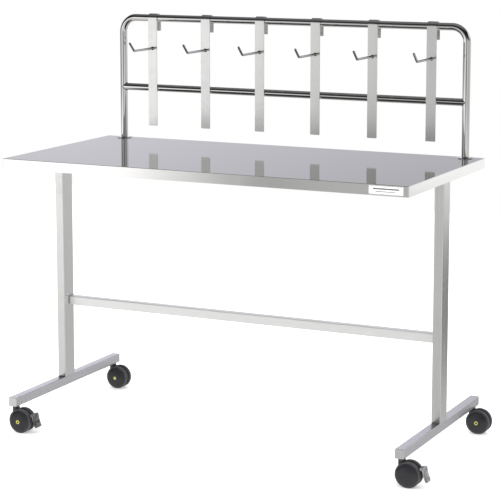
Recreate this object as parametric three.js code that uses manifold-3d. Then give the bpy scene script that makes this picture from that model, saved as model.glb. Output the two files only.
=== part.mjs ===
/**
 * Instrument cart for a veterinary clinic.
 *
 * A stainless steel table on two T-shaped legs, with a round-tube hoop over its rear edge that
 * carries six sliding hooks, and four twin-wheel castors, the front two with brake pedals.
 *
 * Millimetres, +Z up. X runs along the table's length, the front is -Y, and the origin lies on
 * the floor under the middle of the table top.
 */
import * as THREE from "three";
import { mergeVertices } from "three/addons/utils/BufferGeometryUtils.js";
import Module from "manifold-3d";

const wasm = await Module();
wasm.setup();

// Clearances
const FIT = 0.3; // between pieces that rest on each other
const BORE_FIT = 0.4; // radial, a hole round a fixed pin or tube
const RUNNING_FIT = 0.6; // radial, a hole round a turning pin
const SLIDE_FIT = 0.6; // between a hook and the tubes it slides along
const CUT_PAST = 2; // how far a cutting tool runs past the face it cuts

// Facets
const TUBE_SIDES = 20;
const ARC_STEPS = TUBE_SIDES / 2; // a drawn circle gets two sides for each step
const ROD_SIDES = 12;
const WHEEL_SIDES = 32;
const DISC_SIDES = 28;
const BEND_STEPS = 7;
const TOP_FACET = 420;

// Table top: a folded tray, open underneath
const TOP_LENGTH = 1400;
const TOP_WIDTH = 685;
const TOP_HEIGHT = 910;
const SHEET = 1.5;
const APRON = 33;
const RETURN_FLANGE = 14;
const STIFFENER_WIDTH = 60;
const STIFFENER_DEPTH = 20;
const STIFFENER_OFFSET = 180;
const STIFFENER_GAP = 6;
const HEAD_PLATE = { width: 44, length: 500, thickness: 4 };
const APRON_GAP = 3.5; // between an end apron and what stands behind it
const NAME_PLATE = { length: 110, height: 27, thickness: 0.8, inset: 16 };

// Legs, feet and crossbar: square and rectangular tube
const WALL = 1.5;
const LEG_WIDTH = 30;
const LEG_DEPTH = 60;
const FOOT_SIZE = 30;
const FOOT_LENGTH = 684;
const FOOT_CAP = 2;
const CROSSBAR_SIZE = 30;
const CROSSBAR_TOP = 396;
const CROSSBAR_SETBACK = 29; // from the front face of the legs

// Hoop: bent round tube with a straight rail between its posts
const RAIL_DIAMETER = 25;
const HOOP_HEIGHT = 423; // tube centre above the table top
const HOOP_BEND = 50;
const HOOP_END_INSETS = [82, 56]; // post axes from the left and right ends of the table
const HOOP_REAR_INSET = 31;
const HOOP_TAIL = 24; // length of post under the table sheet
const MID_RAIL_HEIGHT = 181;
const ROSETTE = { flange: 15.5, rim: 1.6, height: 4 };
const COLLAR = { wall: 8.5, height: 14 };

// Hooks: a flat strap bent over the rail, with a cranked rod on its front
const HOOK_COUNT = 6;
const HOOK_END_ROOM = 52; // straight rail left between an end hook and the bend
const HOOK_SHIFT = 4; // of the row of hooks from the middle of the rail
const STRAP_WIDTH = 34;
const STRAP_THICKNESS = 3;
const STRAP_BOTTOM = 50; // above the table top
const STRAP_LIP = 45; // rear end, below the rail's centre
const STRAP_SEGMENTS = 12;
const ROD_DIAMETER = 8;
const ROD_DROP = 104; // below the rail's centre
const ROD_REACH = 130;
const ROD_BEND = 9;
const ROD_TIP = 42;
const ROD_TIP_ANGLE = THREE.MathUtils.degToRad(43);
const ROD_BOSS = { radius: 6.5, length: 2.5 };

// Castors
const WHEEL_RADIUS = 40;
const CASTOR_TRAIL = 24;
const CASTOR_INSET = 22; // stem axis from the end of the foot
const WHEEL_INNER = 7.5; // wheel's inner face from the castor's middle
const TREAD_WIDTH = 12.5;
const TREAD_CHAMFER = 2;
const COVER_DEPTH = 11;
const COVER_SHAPE = [[0.9, 0], [0.825, 0.3], [0.5, 0.75], [0.25, 1], [0, 1]]; // shares of radius, depth
const HOUSING_HALF = 6.5;
const HOUSING_INSET = 6; // housing's edge inside the wheels' treads
const NECK_RADIUS = 9.5;
const NECK_DEPTH = 24;
const STEM = { pin: 6, flange: 11, flangeHeight: 3, rise: 22, kingpin: 4, depth: 17 };
const AXLE = { radius: 4, reach: 22 };
const WHEEL_GAP = 1.2; // between the wheel's tread and what stays beside it
const WHEEL_HEADROOM = 8; // between the wheel and the foot
const HINGE = { angle: THREE.MathUtils.degToRad(28.7), radius: 5, pin: 2.2 };
const PEDAL_CHEEK = 5;
const PEDAL_WIDTH = 36;
const PEDAL_THICKNESS = 5;
const PEDAL_TOP = { x: 8.9, z: 4 }; // from the hinge
const PEDAL_BOTTOM = { x: 21.9, z: -42 };

// Derived positions
const SHEET_BOTTOM = TOP_HEIGHT - SHEET;
const APRON_BOTTOM = TOP_HEIGHT - APRON;
const LEG_X = TOP_LENGTH / 2 - SHEET - APRON_GAP - LEG_WIDTH / 2;
const FOOT_BOTTOM = 2 * WHEEL_RADIUS + WHEEL_HEADROOM;
const FOOT_TOP = FOOT_BOTTOM + FOOT_SIZE;
const HOOP_Y = TOP_WIDTH / 2 - HOOP_REAR_INSET;
const HOOP_Z = TOP_HEIGHT + HOOP_HEIGHT;
const RAIL_RADIUS = RAIL_DIAMETER / 2;
const MID_RAIL_Z = TOP_HEIGHT + MID_RAIL_HEIGHT;
const POST_X = [HOOP_END_INSETS[0] - TOP_LENGTH / 2, TOP_LENGTH / 2 - HOOP_END_INSETS[1]];
const HOOP_SPAN = POST_X[1] - POST_X[0];
const HOOP_CENTRE = (POST_X[0] + POST_X[1]) / 2;
const HOOK_RUN = HOOP_SPAN - 2 * (HOOP_BEND + HOOK_END_ROOM) - STRAP_WIDTH;
const CASTOR_Y = FOOT_LENGTH / 2 - CASTOR_INSET;
const NECK_TOP = FOOT_BOTTOM - FIT - STEM.flangeHeight - FIT;
const HINGE_REACH = WHEEL_RADIUS + HINGE.radius + 2 * WHEEL_GAP;
const HINGE_X = HINGE_REACH * Math.cos(HINGE.angle);
const HINGE_Z = HINGE_REACH * Math.sin(HINGE.angle);

const STEEL = { color: 0xc4c4c8, roughness: 0.32, metalness: 1 };
const MIRROR = { color: 0xbcbcc6, roughness: 0.12, metalness: 1 };
const POLISHED = { color: 0xd2d2d4, roughness: 0.1, metalness: 1 };
const PLASTIC = { color: 0x18181b, roughness: 0.5, metalness: 0 };
const COVER = { color: 0x434349, roughness: 0.45, metalness: 0 };
const PLATE = { color: 0xe4e4e4, roughness: 0.4, metalness: 0.1 };

/** A named mesh with a material of its own. */
function piece(name, geometry, look) {
  const mesh = new THREE.Mesh(geometry, new THREE.MeshStandardMaterial(look));
  mesh.name = name;
  return mesh;
}

/** A closed geometry as a manifold solid. */
function toSolid(geometry) {
  const bare = geometry.clone();
  bare.deleteAttribute("normal");
  bare.deleteAttribute("uv");
  const merged = mergeVertices(bare, 1e-4);
  return new wasm.Manifold(new wasm.Mesh({
    numProp: 3,
    vertProperties: new Float32Array(merged.attributes.position.array),
    triVerts: new Uint32Array(merged.index.array),
  }));
}

/** A manifold solid as a geometry. */
function toGeometry(solid) {
  const mesh = solid.getMesh();
  const geometry = new THREE.BufferGeometry();
  geometry.setAttribute("position", new THREE.BufferAttribute(mesh.vertProperties, 3));
  geometry.setIndex(new THREE.BufferAttribute(mesh.triVerts, 1));
  geometry.computeVertexNormals();
  return geometry;
}

/** One geometry less the others. */
function cut(body, ...tools) {
  return toGeometry(tools.reduce((solid, tool) => solid.subtract(toSolid(tool)), toSolid(body)));
}

/** The same solid with no edge longer than span, so that a broad face is made of several. */
function divided(geometry, span) {
  return toGeometry(toSolid(geometry).refineToLength(span));
}

/** Overlapping geometries joined into one. */
function join(body, ...others) {
  return toGeometry(others.reduce((solid, other) => solid.add(toSolid(other)), toSolid(body)));
}

/** A box between two corners. */
function box(x0, x1, y0, y1, z0, z1) {
  const geometry = new THREE.BoxGeometry(x1 - x0, y1 - y0, z1 - z0);
  return geometry.translate((x0 + x1) / 2, (y0 + y1) / 2, (z0 + z1) / 2);
}

/** An upright cylinder from z0 to z1. */
function post(radius, z0, z1, x = 0, y = 0, sides = TUBE_SIDES) {
  const geometry = new THREE.CylinderGeometry(radius, radius, z1 - z0, sides);
  return geometry.rotateX(Math.PI / 2).translate(x, y, (z0 + z1) / 2);
}

/** A cylinder along Y, centred on y = 0. */
function pin(radius, length, x, z, sides = TUBE_SIDES) {
  return new THREE.CylinderGeometry(radius, radius, length, sides).translate(x, 0, z);
}

/** A rectangle centred on the origin, with a hole of the same shape when wall is given. */
function rectangle(width, height, wall = 0) {
  const outline = (w, h) => [
    new THREE.Vector2(-w / 2, -h / 2),
    new THREE.Vector2(w / 2, -h / 2),
    new THREE.Vector2(w / 2, h / 2),
    new THREE.Vector2(-w / 2, h / 2),
  ];
  const shape = new THREE.Shape(outline(width, height));
  if (wall > 0) {
    shape.holes.push(new THREE.Path(outline(width - 2 * wall, height - 2 * wall)));
  }
  return shape;
}

/** A ring, or a disc when inner is zero. */
function ring(outer, inner = 0) {
  const shape = new THREE.Shape().absarc(0, 0, outer, 0, 2 * Math.PI, false);
  if (inner > 0) {
    shape.holes.push(new THREE.Path().absarc(0, 0, inner, 0, 2 * Math.PI, false));
  }
  return shape;
}

/** An (x, y) profile run upwards from z = 0. */
function extruded(shape, depth) {
  return new THREE.ExtrudeGeometry(shape, { depth, bevelEnabled: false, curveSegments: ARC_STEPS });
}

/** A (y, z) profile run along X, centred on x = 0. */
function alongX(shape, length) {
  const axes = [new THREE.Vector3(0, 1, 0), new THREE.Vector3(0, 0, 1), new THREE.Vector3(1, 0, 0)];
  const turn = new THREE.Matrix4().makeBasis(...axes);
  return extruded(shape, length).applyMatrix4(turn).translate(-length / 2, 0, 0);
}

/** An (x, z) profile run along Y, centred on y = 0. */
function alongY(shape, length) {
  return extruded(shape, length).rotateX(Math.PI / 2).translate(0, length / 2, 0);
}

/** An (x, y) profile run upwards from z0 to z1. */
function upright(shape, z0, z1) {
  return extruded(shape, z1 - z0).translate(0, 0, z0);
}

/** A solid of revolution about the Y axis from [radius, y] pairs. */
function turned(profile, sides) {
  return new THREE.LatheGeometry(profile.map(([r, y]) => new THREE.Vector2(r, y)), sides);
}

/** A solid of revolution about the Z axis from [radius, z] pairs. */
function turnedUpright(profile, sides) {
  return turned(profile, sides).rotateX(Math.PI / 2);
}

/** A curve through given points with given tangents, one ring of the sweep at each. */
class StationCurve extends THREE.Curve {
  constructor(stations) {
    super();
    this.stations = stations;
  }

  blend(u, key) {
    const place = u * (this.stations.length - 1);
    const index = Math.min(Math.floor(place), this.stations.length - 2);
    const next = this.stations[index + 1][key];
    return this.stations[index][key].clone().lerp(next, place - index);
  }

  getPoint(u, target = new THREE.Vector3()) {
    return target.copy(this.blend(u, "point"));
  }

  getPointAt(u, target = new THREE.Vector3()) {
    return this.getPoint(u, target);
  }

  getTangentAt(u, target = new THREE.Vector3()) {
    return target.copy(this.blend(u, "tangent")).normalize();
  }
}

/** Stations along a line of corners, each corner rounded to the bend radius. */
function bentPath(corners, radius) {
  const heading = (a, b) => b.clone().sub(a).normalize();
  const first = heading(corners[0], corners[1]);
  const stations = [{ point: corners[0], tangent: first }];
  for (let i = 1; i < corners.length - 1; i++) {
    const before = heading(corners[i - 1], corners[i]);
    const after = heading(corners[i], corners[i + 1]);
    const angle = before.angleTo(after);
    const inward = after.clone().sub(before).normalize();
    const centre = corners[i].clone().addScaledVector(inward, radius / Math.cos(angle / 2));
    const start = corners[i].clone().addScaledVector(before, -radius * Math.tan(angle / 2));
    const spoke = start.clone().sub(centre);
    const axis = before.clone().cross(after).normalize();
    for (let step = 0; step <= BEND_STEPS; step++) {
      const turn = (angle * step) / BEND_STEPS;
      stations.push({
        point: spoke.clone().applyAxisAngle(axis, turn).add(centre),
        tangent: before.clone().applyAxisAngle(axis, turn),
      });
    }
  }
  const last = corners[corners.length - 1];
  stations.push({ point: last, tangent: heading(corners[corners.length - 2], last) });
  return stations;
}

/** A profile swept along a line of corners. */
function swept(shape, corners, radius, sides) {
  const stations = bentPath(corners, radius);
  return new THREE.ExtrudeGeometry(shape, {
    steps: stations.length - 1,
    curveSegments: sides / 2,
    extrudePath: new StationCurve(stations),
  });
}

/** The folded tray of the table top, with return flanges on its long sides. */
function tableTop() {
  const x = TOP_LENGTH / 2;
  const y = TOP_WIDTH / 2;
  const inner = y - SHEET;
  const lip = inner - RETURN_FLANGE;
  const tray = box(-x, x, -y, y, APRON_BOTTOM, TOP_HEIGHT);
  const pocket = box(-x + SHEET, x - SHEET, -inner, inner, APRON_BOTTOM + SHEET, SHEET_BOTTOM);
  const mouth = box(-x + SHEET, x - SHEET, -lip, lip, APRON_BOTTOM - CUT_PAST, SHEET_BOTTOM);
  const bore = RAIL_RADIUS + BORE_FIT;
  const holes = POST_X.map((postX) => (
    post(bore, SHEET_BOTTOM - CUT_PAST, TOP_HEIGHT + CUT_PAST, postX, HOOP_Y)
  ));
  return piece("table_top", divided(cut(tray, pocket, mouth, ...holes), TOP_FACET), MIRROR);
}

/** An open channel under the sheet, running the length of the table. */
function stiffener(name, y) {
  const half = STIFFENER_WIDTH / 2;
  const top = SHEET_BOTTOM - FIT;
  const end = LEG_X + LEG_WIDTH / 2 - HEAD_PLATE.width - STIFFENER_GAP;
  const bottom = top - STIFFENER_DEPTH;
  const past = end + CUT_PAST;
  const wall = half - SHEET;
  const body = box(-end, end, y - half, y + half, bottom, top);
  const inside = box(-past, past, y - wall, y + wall, bottom + SHEET, top + CUT_PAST);
  return piece(name, cut(body, inside), STEEL);
}

/** The plate that spreads a leg's load under the sheet. */
function headPlate(name, side) {
  const outer = LEG_X + LEG_WIDTH / 2;
  const x = side * (outer - HEAD_PLATE.width / 2);
  const top = SHEET_BOTTOM - FIT;
  const half = HEAD_PLATE.width / 2;
  const reach = HEAD_PLATE.length / 2;
  return piece(name, box(x - half, x + half, -reach, reach, top - HEAD_PLATE.thickness, top), STEEL);
}

/** A blank plate on the front apron. */
function namePlate() {
  const x1 = TOP_LENGTH / 2 - NAME_PLATE.inset;
  const y1 = -TOP_WIDTH / 2 - FIT;
  const z0 = APRON_BOTTOM + (APRON - NAME_PLATE.height) / 2;
  const y0 = y1 - NAME_PLATE.thickness;
  return piece("name_plate", box(x1 - NAME_PLATE.length, x1, y0, y1, z0, z0 + NAME_PLATE.height), PLATE);
}

/** A leg of rectangular tube. */
function leg(name, side) {
  const top = SHEET_BOTTOM - FIT - HEAD_PLATE.thickness - FIT;
  const tube = upright(rectangle(LEG_WIDTH, LEG_DEPTH, WALL), FOOT_TOP + FIT, top);
  return piece(name, tube.translate(side * LEG_X, 0, 0), STEEL);
}

/** A foot of square tube, drilled underneath for the two castor stems. */
function foot(name, side) {
  const length = FOOT_LENGTH - 2 * (FOOT_CAP + FIT);
  const tube = alongY(rectangle(FOOT_SIZE, FOOT_SIZE, WALL), length);
  const bottom = -FOOT_SIZE / 2;
  const hole = (y) => (
    post(STEM.pin + BORE_FIT, bottom - CUT_PAST, bottom + WALL + CUT_PAST, 0, y)
  );
  const drilled = cut(tube, hole(-CASTOR_Y), hole(CASTOR_Y));
  return piece(name, drilled.translate(side * LEG_X, 0, FOOT_BOTTOM + FOOT_SIZE / 2), STEEL);
}

/** The plate that closes one end of a foot. */
function footCap(name, side, end) {
  const half = FOOT_SIZE / 2;
  const cap = box(-half, half, -FOOT_CAP / 2, FOOT_CAP / 2, FOOT_BOTTOM, FOOT_TOP);
  return piece(name, cap.translate(side * LEG_X, end * (FOOT_LENGTH - FOOT_CAP) / 2, 0), STEEL);
}

/** The square tube between the legs. */
function crossbar() {
  const length = 2 * (LEG_X - LEG_WIDTH / 2 - FIT);
  const y = -LEG_DEPTH / 2 + CROSSBAR_SETBACK + CROSSBAR_SIZE / 2;
  const tube = alongX(rectangle(CROSSBAR_SIZE, CROSSBAR_SIZE, WALL), length);
  return piece("crossbar", tube.translate(0, y, CROSSBAR_TOP - CROSSBAR_SIZE / 2), STEEL);
}

/** The bent hoop, whose posts go through the table sheet. */
function railHoop() {
  const at = (x, z) => new THREE.Vector3(x, HOOP_Y, z);
  const [left, right] = POST_X;
  const foot = SHEET_BOTTOM - HOOP_TAIL;
  const corners = [at(left, foot), at(left, HOOP_Z), at(right, HOOP_Z), at(right, foot)];
  const tube = ring(RAIL_RADIUS, RAIL_RADIUS - WALL);
  return piece("rail_hoop", swept(tube, corners, HOOP_BEND, TUBE_SIDES), POLISHED);
}

/** The straight rail, its ends hollowed to fit round the posts. */
function railMid() {
  const tube = alongX(ring(RAIL_RADIUS, RAIL_RADIUS - WALL), HOOP_SPAN);
  const cope = (x) => post(RAIL_RADIUS + FIT, -RAIL_DIAMETER, RAIL_DIAMETER, x, 0);
  const coped = cut(tube, cope(-HOOP_SPAN / 2), cope(HOOP_SPAN / 2));
  return piece("rail_mid", coped.translate(HOOP_CENTRE, HOOP_Y, MID_RAIL_Z), POLISHED);
}

/** The shallow collar round the foot of a post. */
function rosette(name, x) {
  const bore = RAIL_RADIUS + BORE_FIT;
  const rim = RAIL_RADIUS + ROSETTE.flange;
  const profile = [
    [bore, 0],
    [rim, 0],
    [rim, ROSETTE.rim],
    [bore + ROSETTE.height, ROSETTE.height],
    [bore, ROSETTE.height],
    [bore, 0],
  ];
  const collar = turnedUpright(profile, DISC_SIDES);
  return piece(name, collar.translate(x, HOOP_Y, TOP_HEIGHT + FIT), POLISHED);
}

/** The ring that clamps a post under the sheet. */
function postCollar(name, x) {
  const top = SHEET_BOTTOM - FIT;
  const bore = RAIL_RADIUS + BORE_FIT;
  const clamp = upright(ring(bore + COLLAR.wall, bore), top - COLLAR.height, top);
  return piece(name, clamp.translate(x, HOOP_Y, 0), STEEL);
}

/** The outline of the strap about the rail's centre: front limb, saddle and rear lip. */
function strapOutline() {
  const inner = RAIL_RADIUS + SLIDE_FIT;
  const outer = inner + STRAP_THICKNESS;
  const bottom = TOP_HEIGHT + STRAP_BOTTOM - HOOP_Z;
  const arc = (radius, from, to) => Array.from({ length: STRAP_SEGMENTS + 1 }, (_, step) => {
    const angle = from + ((to - from) * step) / STRAP_SEGMENTS;
    return new THREE.Vector2(radius * Math.cos(angle), radius * Math.sin(angle));
  });
  return new THREE.Shape([
    new THREE.Vector2(outer, -STRAP_LIP),
    ...arc(outer, 0, Math.PI),
    new THREE.Vector2(-outer, bottom),
    new THREE.Vector2(-inner, bottom),
    ...arc(inner, Math.PI, 0),
    new THREE.Vector2(inner, -STRAP_LIP),
  ]);
}

/** A flat strap hung over the top rail and lying against the middle one. */
function hookStrap(name, x) {
  return piece(name, alongX(strapOutline(), STRAP_WIDTH).translate(x, HOOP_Y, HOOP_Z), POLISHED);
}

/** The cranked rod on the front of a strap, with its weld boss. */
function hookRod(name, x) {
  const start = -RAIL_RADIUS - SLIDE_FIT - STRAP_THICKNESS - FIT;
  const elbow = start - ROD_REACH;
  const rise = ROD_TIP * Math.sin(ROD_TIP_ANGLE);
  const corners = [
    new THREE.Vector3(0, start, 0),
    new THREE.Vector3(0, elbow, 0),
    new THREE.Vector3(0, elbow - ROD_TIP * Math.cos(ROD_TIP_ANGLE), rise),
  ];
  const rod = swept(ring(ROD_DIAMETER / 2), corners, ROD_BEND, ROD_SIDES);
  const boss = new THREE.CylinderGeometry(ROD_BOSS.radius, ROD_BOSS.radius, ROD_BOSS.length, ROD_SIDES);
  boss.translate(0, start - ROD_BOSS.length / 2, 0);
  return piece(name, join(rod, boss).translate(x, HOOP_Y, HOOP_Z - ROD_DROP), POLISHED);
}

/** The hooks, spaced evenly about the middle of the rail. */
function hooks() {
  return Array.from({ length: HOOK_COUNT }, (_, index) => {
    const x = HOOP_CENTRE + HOOK_SHIFT + HOOK_RUN * (index / (HOOK_COUNT - 1) - 0.5);
    return [hookStrap(`hook_strap_${index + 1}`, x), hookRod(`hook_rod_${index + 1}`, x)];
  }).flat();
}

/** The fixed stem: a pin in the foot, a flange under it and a pin in the housing. */
function castorStem(name) {
  const flangeTop = FOOT_BOTTOM - FIT;
  const flangeBottom = flangeTop - STEM.flangeHeight;
  const bottom = NECK_TOP - STEM.depth;
  const profile = [
    [0, bottom],
    [STEM.kingpin, bottom],
    [STEM.kingpin, flangeBottom],
    [STEM.flange, flangeBottom],
    [STEM.flange, flangeTop],
    [STEM.pin, flangeTop],
    [STEM.pin, FOOT_BOTTOM + STEM.rise],
    [0, FOOT_BOTTOM + STEM.rise],
  ];
  return piece(name, turnedUpright(profile, TUBE_SIDES), STEEL);
}

/** The neck round the stem, cleared for the wheels on both sides. */
function castorNeck() {
  const column = post(NECK_RADIUS, NECK_TOP - NECK_DEPTH, NECK_TOP);
  const near = WHEEL_INNER - WHEEL_GAP;
  const room = (y0, y1) => pin(WHEEL_RADIUS + WHEEL_GAP, y1 - y0, CASTOR_TRAIL, WHEEL_RADIUS, WHEEL_SIDES)
    .translate(0, (y0 + y1) / 2, 0);
  return cut(column, room(near, NECK_RADIUS + CUT_PAST), room(-NECK_RADIUS - CUT_PAST, -near));
}

/** The housing's outline between the wheels, with a shoulder up to the neck. */
function housingOutline() {
  const shoulder = NECK_TOP - WHEEL_RADIUS - WHEEL_GAP;
  const radius = WHEEL_RADIUS - HOUSING_INSET;
  const start = Math.atan2(shoulder - 2 * WHEEL_GAP, -CASTOR_TRAIL + NECK_RADIUS);
  const points = [
    new THREE.Vector2(-CASTOR_TRAIL - NECK_RADIUS, shoulder),
    new THREE.Vector2(-CASTOR_TRAIL - NECK_RADIUS, 0),
  ];
  const from = Math.PI + Math.asin(NECK_RADIUS / radius);
  const to = 2 * Math.PI + start;
  for (let step = 0; step <= DISC_SIDES; step++) {
    const angle = from + ((to - from) * step) / DISC_SIDES;
    points.push(new THREE.Vector2(radius * Math.cos(angle), radius * Math.sin(angle)));
  }
  points.push(new THREE.Vector2(-CASTOR_TRAIL + NECK_RADIUS, shoulder));
  return new THREE.Shape(points);
}

/** The swivelling housing, with a hinge lug at its rear when it carries a pedal. */
function castorHousing(name, braked) {
  const web = alongY(housingOutline(), 2 * HOUSING_HALF).translate(CASTOR_TRAIL, 0, WHEEL_RADIUS);
  const parts = [castorNeck()];
  const bores = [
    post(STEM.kingpin + RUNNING_FIT, NECK_TOP - STEM.depth - FIT, NECK_TOP + CUT_PAST),
    pin(AXLE.radius + BORE_FIT, 2 * HOUSING_HALF + CUT_PAST, CASTOR_TRAIL, WHEEL_RADIUS),
  ];
  if (braked) {
    const x = CASTOR_TRAIL + HINGE_X;
    const z = WHEEL_RADIUS + HINGE_Z;
    const arm = new THREE.BoxGeometry(HINGE_REACH, 2 * HOUSING_HALF, 2 * HINGE.radius);
    arm.translate(HINGE_REACH / 2, 0, 0).rotateY(-HINGE.angle);
    parts.push(arm.translate(CASTOR_TRAIL, 0, WHEEL_RADIUS));
    parts.push(pin(HINGE.radius, 2 * HOUSING_HALF, x, z));
    bores.push(pin(HINGE.pin + RUNNING_FIT, 2 * HOUSING_HALF + CUT_PAST, x, z, ROD_SIDES));
  }
  return piece(name, cut(join(web, ...parts), ...bores), PLASTIC);
}

/** The pin that both wheels turn on. */
function castorAxle(name) {
  return piece(name, pin(AXLE.radius, 2 * AXLE.reach, CASTOR_TRAIL, WHEEL_RADIUS), STEEL);
}

/** A wheel with its tread and domed cover, on one side of the housing. */
function castorWheel(name, side) {
  const rim = WHEEL_INNER + TREAD_WIDTH;
  const shoulder = WHEEL_RADIUS - TREAD_CHAMFER;
  const bore = AXLE.radius + RUNNING_FIT;
  const bored = AXLE.reach + FIT;
  const profile = [
    [0, bored],
    [bore, bored],
    [bore, WHEEL_INNER],
    [shoulder, WHEEL_INNER],
    [WHEEL_RADIUS, WHEEL_INNER + TREAD_CHAMFER],
    [WHEEL_RADIUS, rim - TREAD_CHAMFER],
    [shoulder, rim],
    ...COVER_SHAPE.map(([out, along]) => [WHEEL_RADIUS * out, rim + COVER_DEPTH * along]),
  ];
  const wheel = turned(profile, WHEEL_SIDES);
  if (side < 0) {
    wheel.rotateZ(Math.PI);
  }
  return piece(name, wheel.translate(CASTOR_TRAIL, 0, WHEEL_RADIUS), COVER);
}

/** The brake pedal: a sloping blade with two cheeks and a pin through the housing's lug. */
function brakePedal(name) {
  const run = new THREE.Vector2(PEDAL_BOTTOM.x - PEDAL_TOP.x, PEDAL_BOTTOM.z - PEDAL_TOP.z);
  const blade = new THREE.BoxGeometry(PEDAL_THICKNESS, PEDAL_WIDTH, run.length());
  blade.rotateY(-Math.atan2(run.x, -run.y));
  blade.translate((PEDAL_TOP.x + PEDAL_BOTTOM.x) / 2, 0, (PEDAL_TOP.z + PEDAL_BOTTOM.z) / 2);
  const inner = HOUSING_HALF + FIT;
  const half = PEDAL_CHEEK / 2;
  const cheek = (side) => join(
    pin(HINGE.radius, PEDAL_CHEEK, 0, 0),
    box(0, PEDAL_TOP.x, -half, half, -HINGE.radius, half),
  ).translate(0, side * (inner + half), 0);
  const trunnion = pin(HINGE.pin, 2 * inner + PEDAL_CHEEK, 0, 0, ROD_SIDES);
  const pedal = join(blade, cheek(-1), cheek(1), trunnion);
  return piece(name, pedal.translate(CASTOR_TRAIL + HINGE_X, 0, WHEEL_RADIUS + HINGE_Z), PLASTIC);
}

/** One castor under a foot, in a group placed at its swivel axis. */
function castor(tag, side, end) {
  const braked = end < 0;
  const group = new THREE.Group();
  group.position.set(side * LEG_X, end * CASTOR_Y, 0);
  group.add(castorStem(`castor_stem_${tag}`));
  group.add(castorHousing(`castor_housing_${tag}`, braked));
  group.add(castorAxle(`castor_axle_${tag}`));
  group.add(castorWheel(`castor_wheel_${tag}_a`, -1));
  group.add(castorWheel(`castor_wheel_${tag}_b`, 1));
  if (braked) {
    group.add(brakePedal(`brake_pedal_${tag}`));
  }
  return group;
}

const cart = new THREE.Group();
cart.add(tableTop(), namePlate());
cart.add(stiffener("stiffener_front", -STIFFENER_OFFSET), stiffener("stiffener_rear", STIFFENER_OFFSET));
cart.add(crossbar(), railHoop(), railMid(), ...hooks());
for (const [tag, side, postX] of [["left", -1, POST_X[0]], ["right", 1, POST_X[1]]]) {
  cart.add(headPlate(`head_plate_${tag}`, side), leg(`leg_${tag}`, side), foot(`foot_${tag}`, side));
  cart.add(footCap(`foot_cap_${tag}_front`, side, -1), footCap(`foot_cap_${tag}_rear`, side, 1));
  cart.add(rosette(`rosette_${tag}`, postX), postCollar(`post_collar_${tag}`, postX));
}
cart.add(castor("fl", -1, -1), castor("fr", 1, -1), castor("rl", -1, 1), castor("rr", 1, 1));

export default cart;
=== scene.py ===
"""Looks of a wheeled steel instrument table with a hook rail: its pieces, finishes and studio."""

import logging
import math
from collections.abc import Callable, Iterable, Sequence
from dataclasses import dataclass, field
from enum import Enum
from typing import Any

import bmesh
import bpy
from mathutils import Matrix, Vector


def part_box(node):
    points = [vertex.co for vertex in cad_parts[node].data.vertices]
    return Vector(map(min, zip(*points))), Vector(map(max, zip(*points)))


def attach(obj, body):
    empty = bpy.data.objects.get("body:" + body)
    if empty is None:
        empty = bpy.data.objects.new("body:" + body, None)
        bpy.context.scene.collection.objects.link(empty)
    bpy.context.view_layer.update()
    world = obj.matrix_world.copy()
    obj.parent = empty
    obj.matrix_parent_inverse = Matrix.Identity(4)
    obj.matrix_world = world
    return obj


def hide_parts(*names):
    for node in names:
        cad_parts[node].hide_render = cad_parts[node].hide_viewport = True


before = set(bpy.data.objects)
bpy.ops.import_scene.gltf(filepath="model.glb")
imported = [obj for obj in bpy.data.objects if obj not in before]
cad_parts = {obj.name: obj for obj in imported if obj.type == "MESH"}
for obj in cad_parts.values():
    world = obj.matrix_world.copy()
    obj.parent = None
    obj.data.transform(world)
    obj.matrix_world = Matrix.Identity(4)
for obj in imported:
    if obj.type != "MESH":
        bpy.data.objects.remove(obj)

LOG = logging.getLogger("instrument_table")
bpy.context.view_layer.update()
MM = 0.001
QUARTER = math.pi / 2
NEAR = 1e-4
ALIGNED = 0.9  # cosine past which a face or an edge counts as lying along a direction
WHITE = (1.0, 1.0, 1.0)
MIX_INPUTS = (0, 6, 7)  # a colour mix's factor and its two colours
MIX_OUTPUT = 2

Triple = tuple[float, float, float]
Colour = Triple
Test = Callable[[Vector, Vector], bool]
Point = tuple[float, float]


class Axis(Enum):
    """A direction of the object's frame."""

    X = (1.0, 0.0, 0.0)
    Y = (0.0, 1.0, 0.0)
    Z = (0.0, 0.0, 1.0)

    @property
    def vector(self) -> Vector:
        """The direction as a unit vector."""
        return Vector(self.value)

    @property
    def laid(self) -> Triple:
        """The turn that lays an upright primitive along this direction."""
        return {"X": (0.0, QUARTER, 0.0), "Y": (-QUARTER, 0.0, 0.0), "Z": (0.0, 0.0, 0.0)}[self.name]


class Element(Enum):
    """What an edit-mode move picks."""

    VERT = (True, False, False)
    EDGE = (False, True, False)
    FACE = (False, False, True)


class Hub(Enum):
    """What shows at the middle of a castor's outer wheel cover."""

    PLAIN = "plain cover"
    RING = "coloured ring round the axle"
    DOT = "coloured cap over the axle"


@dataclass(frozen=True)
class Corner:
    """One castor: its tag in the part, and the hub of its near wheel."""

    tag: str
    hub: Hub
    braked: bool


CORNERS = (
    Corner("fl", Hub.RING, True),
    Corner("fr", Hub.PLAIN, True),
    Corner("rl", Hub.DOT, False),
    Corner("rr", Hub.RING, False),
)


def runs_along(axis: Axis) -> Test:
    """Gives a test for edges that run, or faces that look, along an axis."""
    return lambda place, facing: abs(facing.dot(axis.vector)) > ALIGNED


def looks_down(axis: Axis) -> Test:
    """Gives a test for faces that look against an axis."""
    return lambda place, facing: facing.dot(axis.vector) < -ALIGNED


def is_above(level: float) -> Test:
    """Gives a test for what lies above a height."""
    return lambda place, facing: place.z > level


def is_below(level: float) -> Test:
    """Gives a test for what lies below a height."""
    return lambda place, facing: place.z < level


def outline(points: Iterable[Point], across: float = 0.0, along: float = 0.0) -> list[Point]:
    """Places an outline that is drawn in millimetres from a point."""
    return [(across + x * MM, along + y * MM) for x, y in points]


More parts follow.
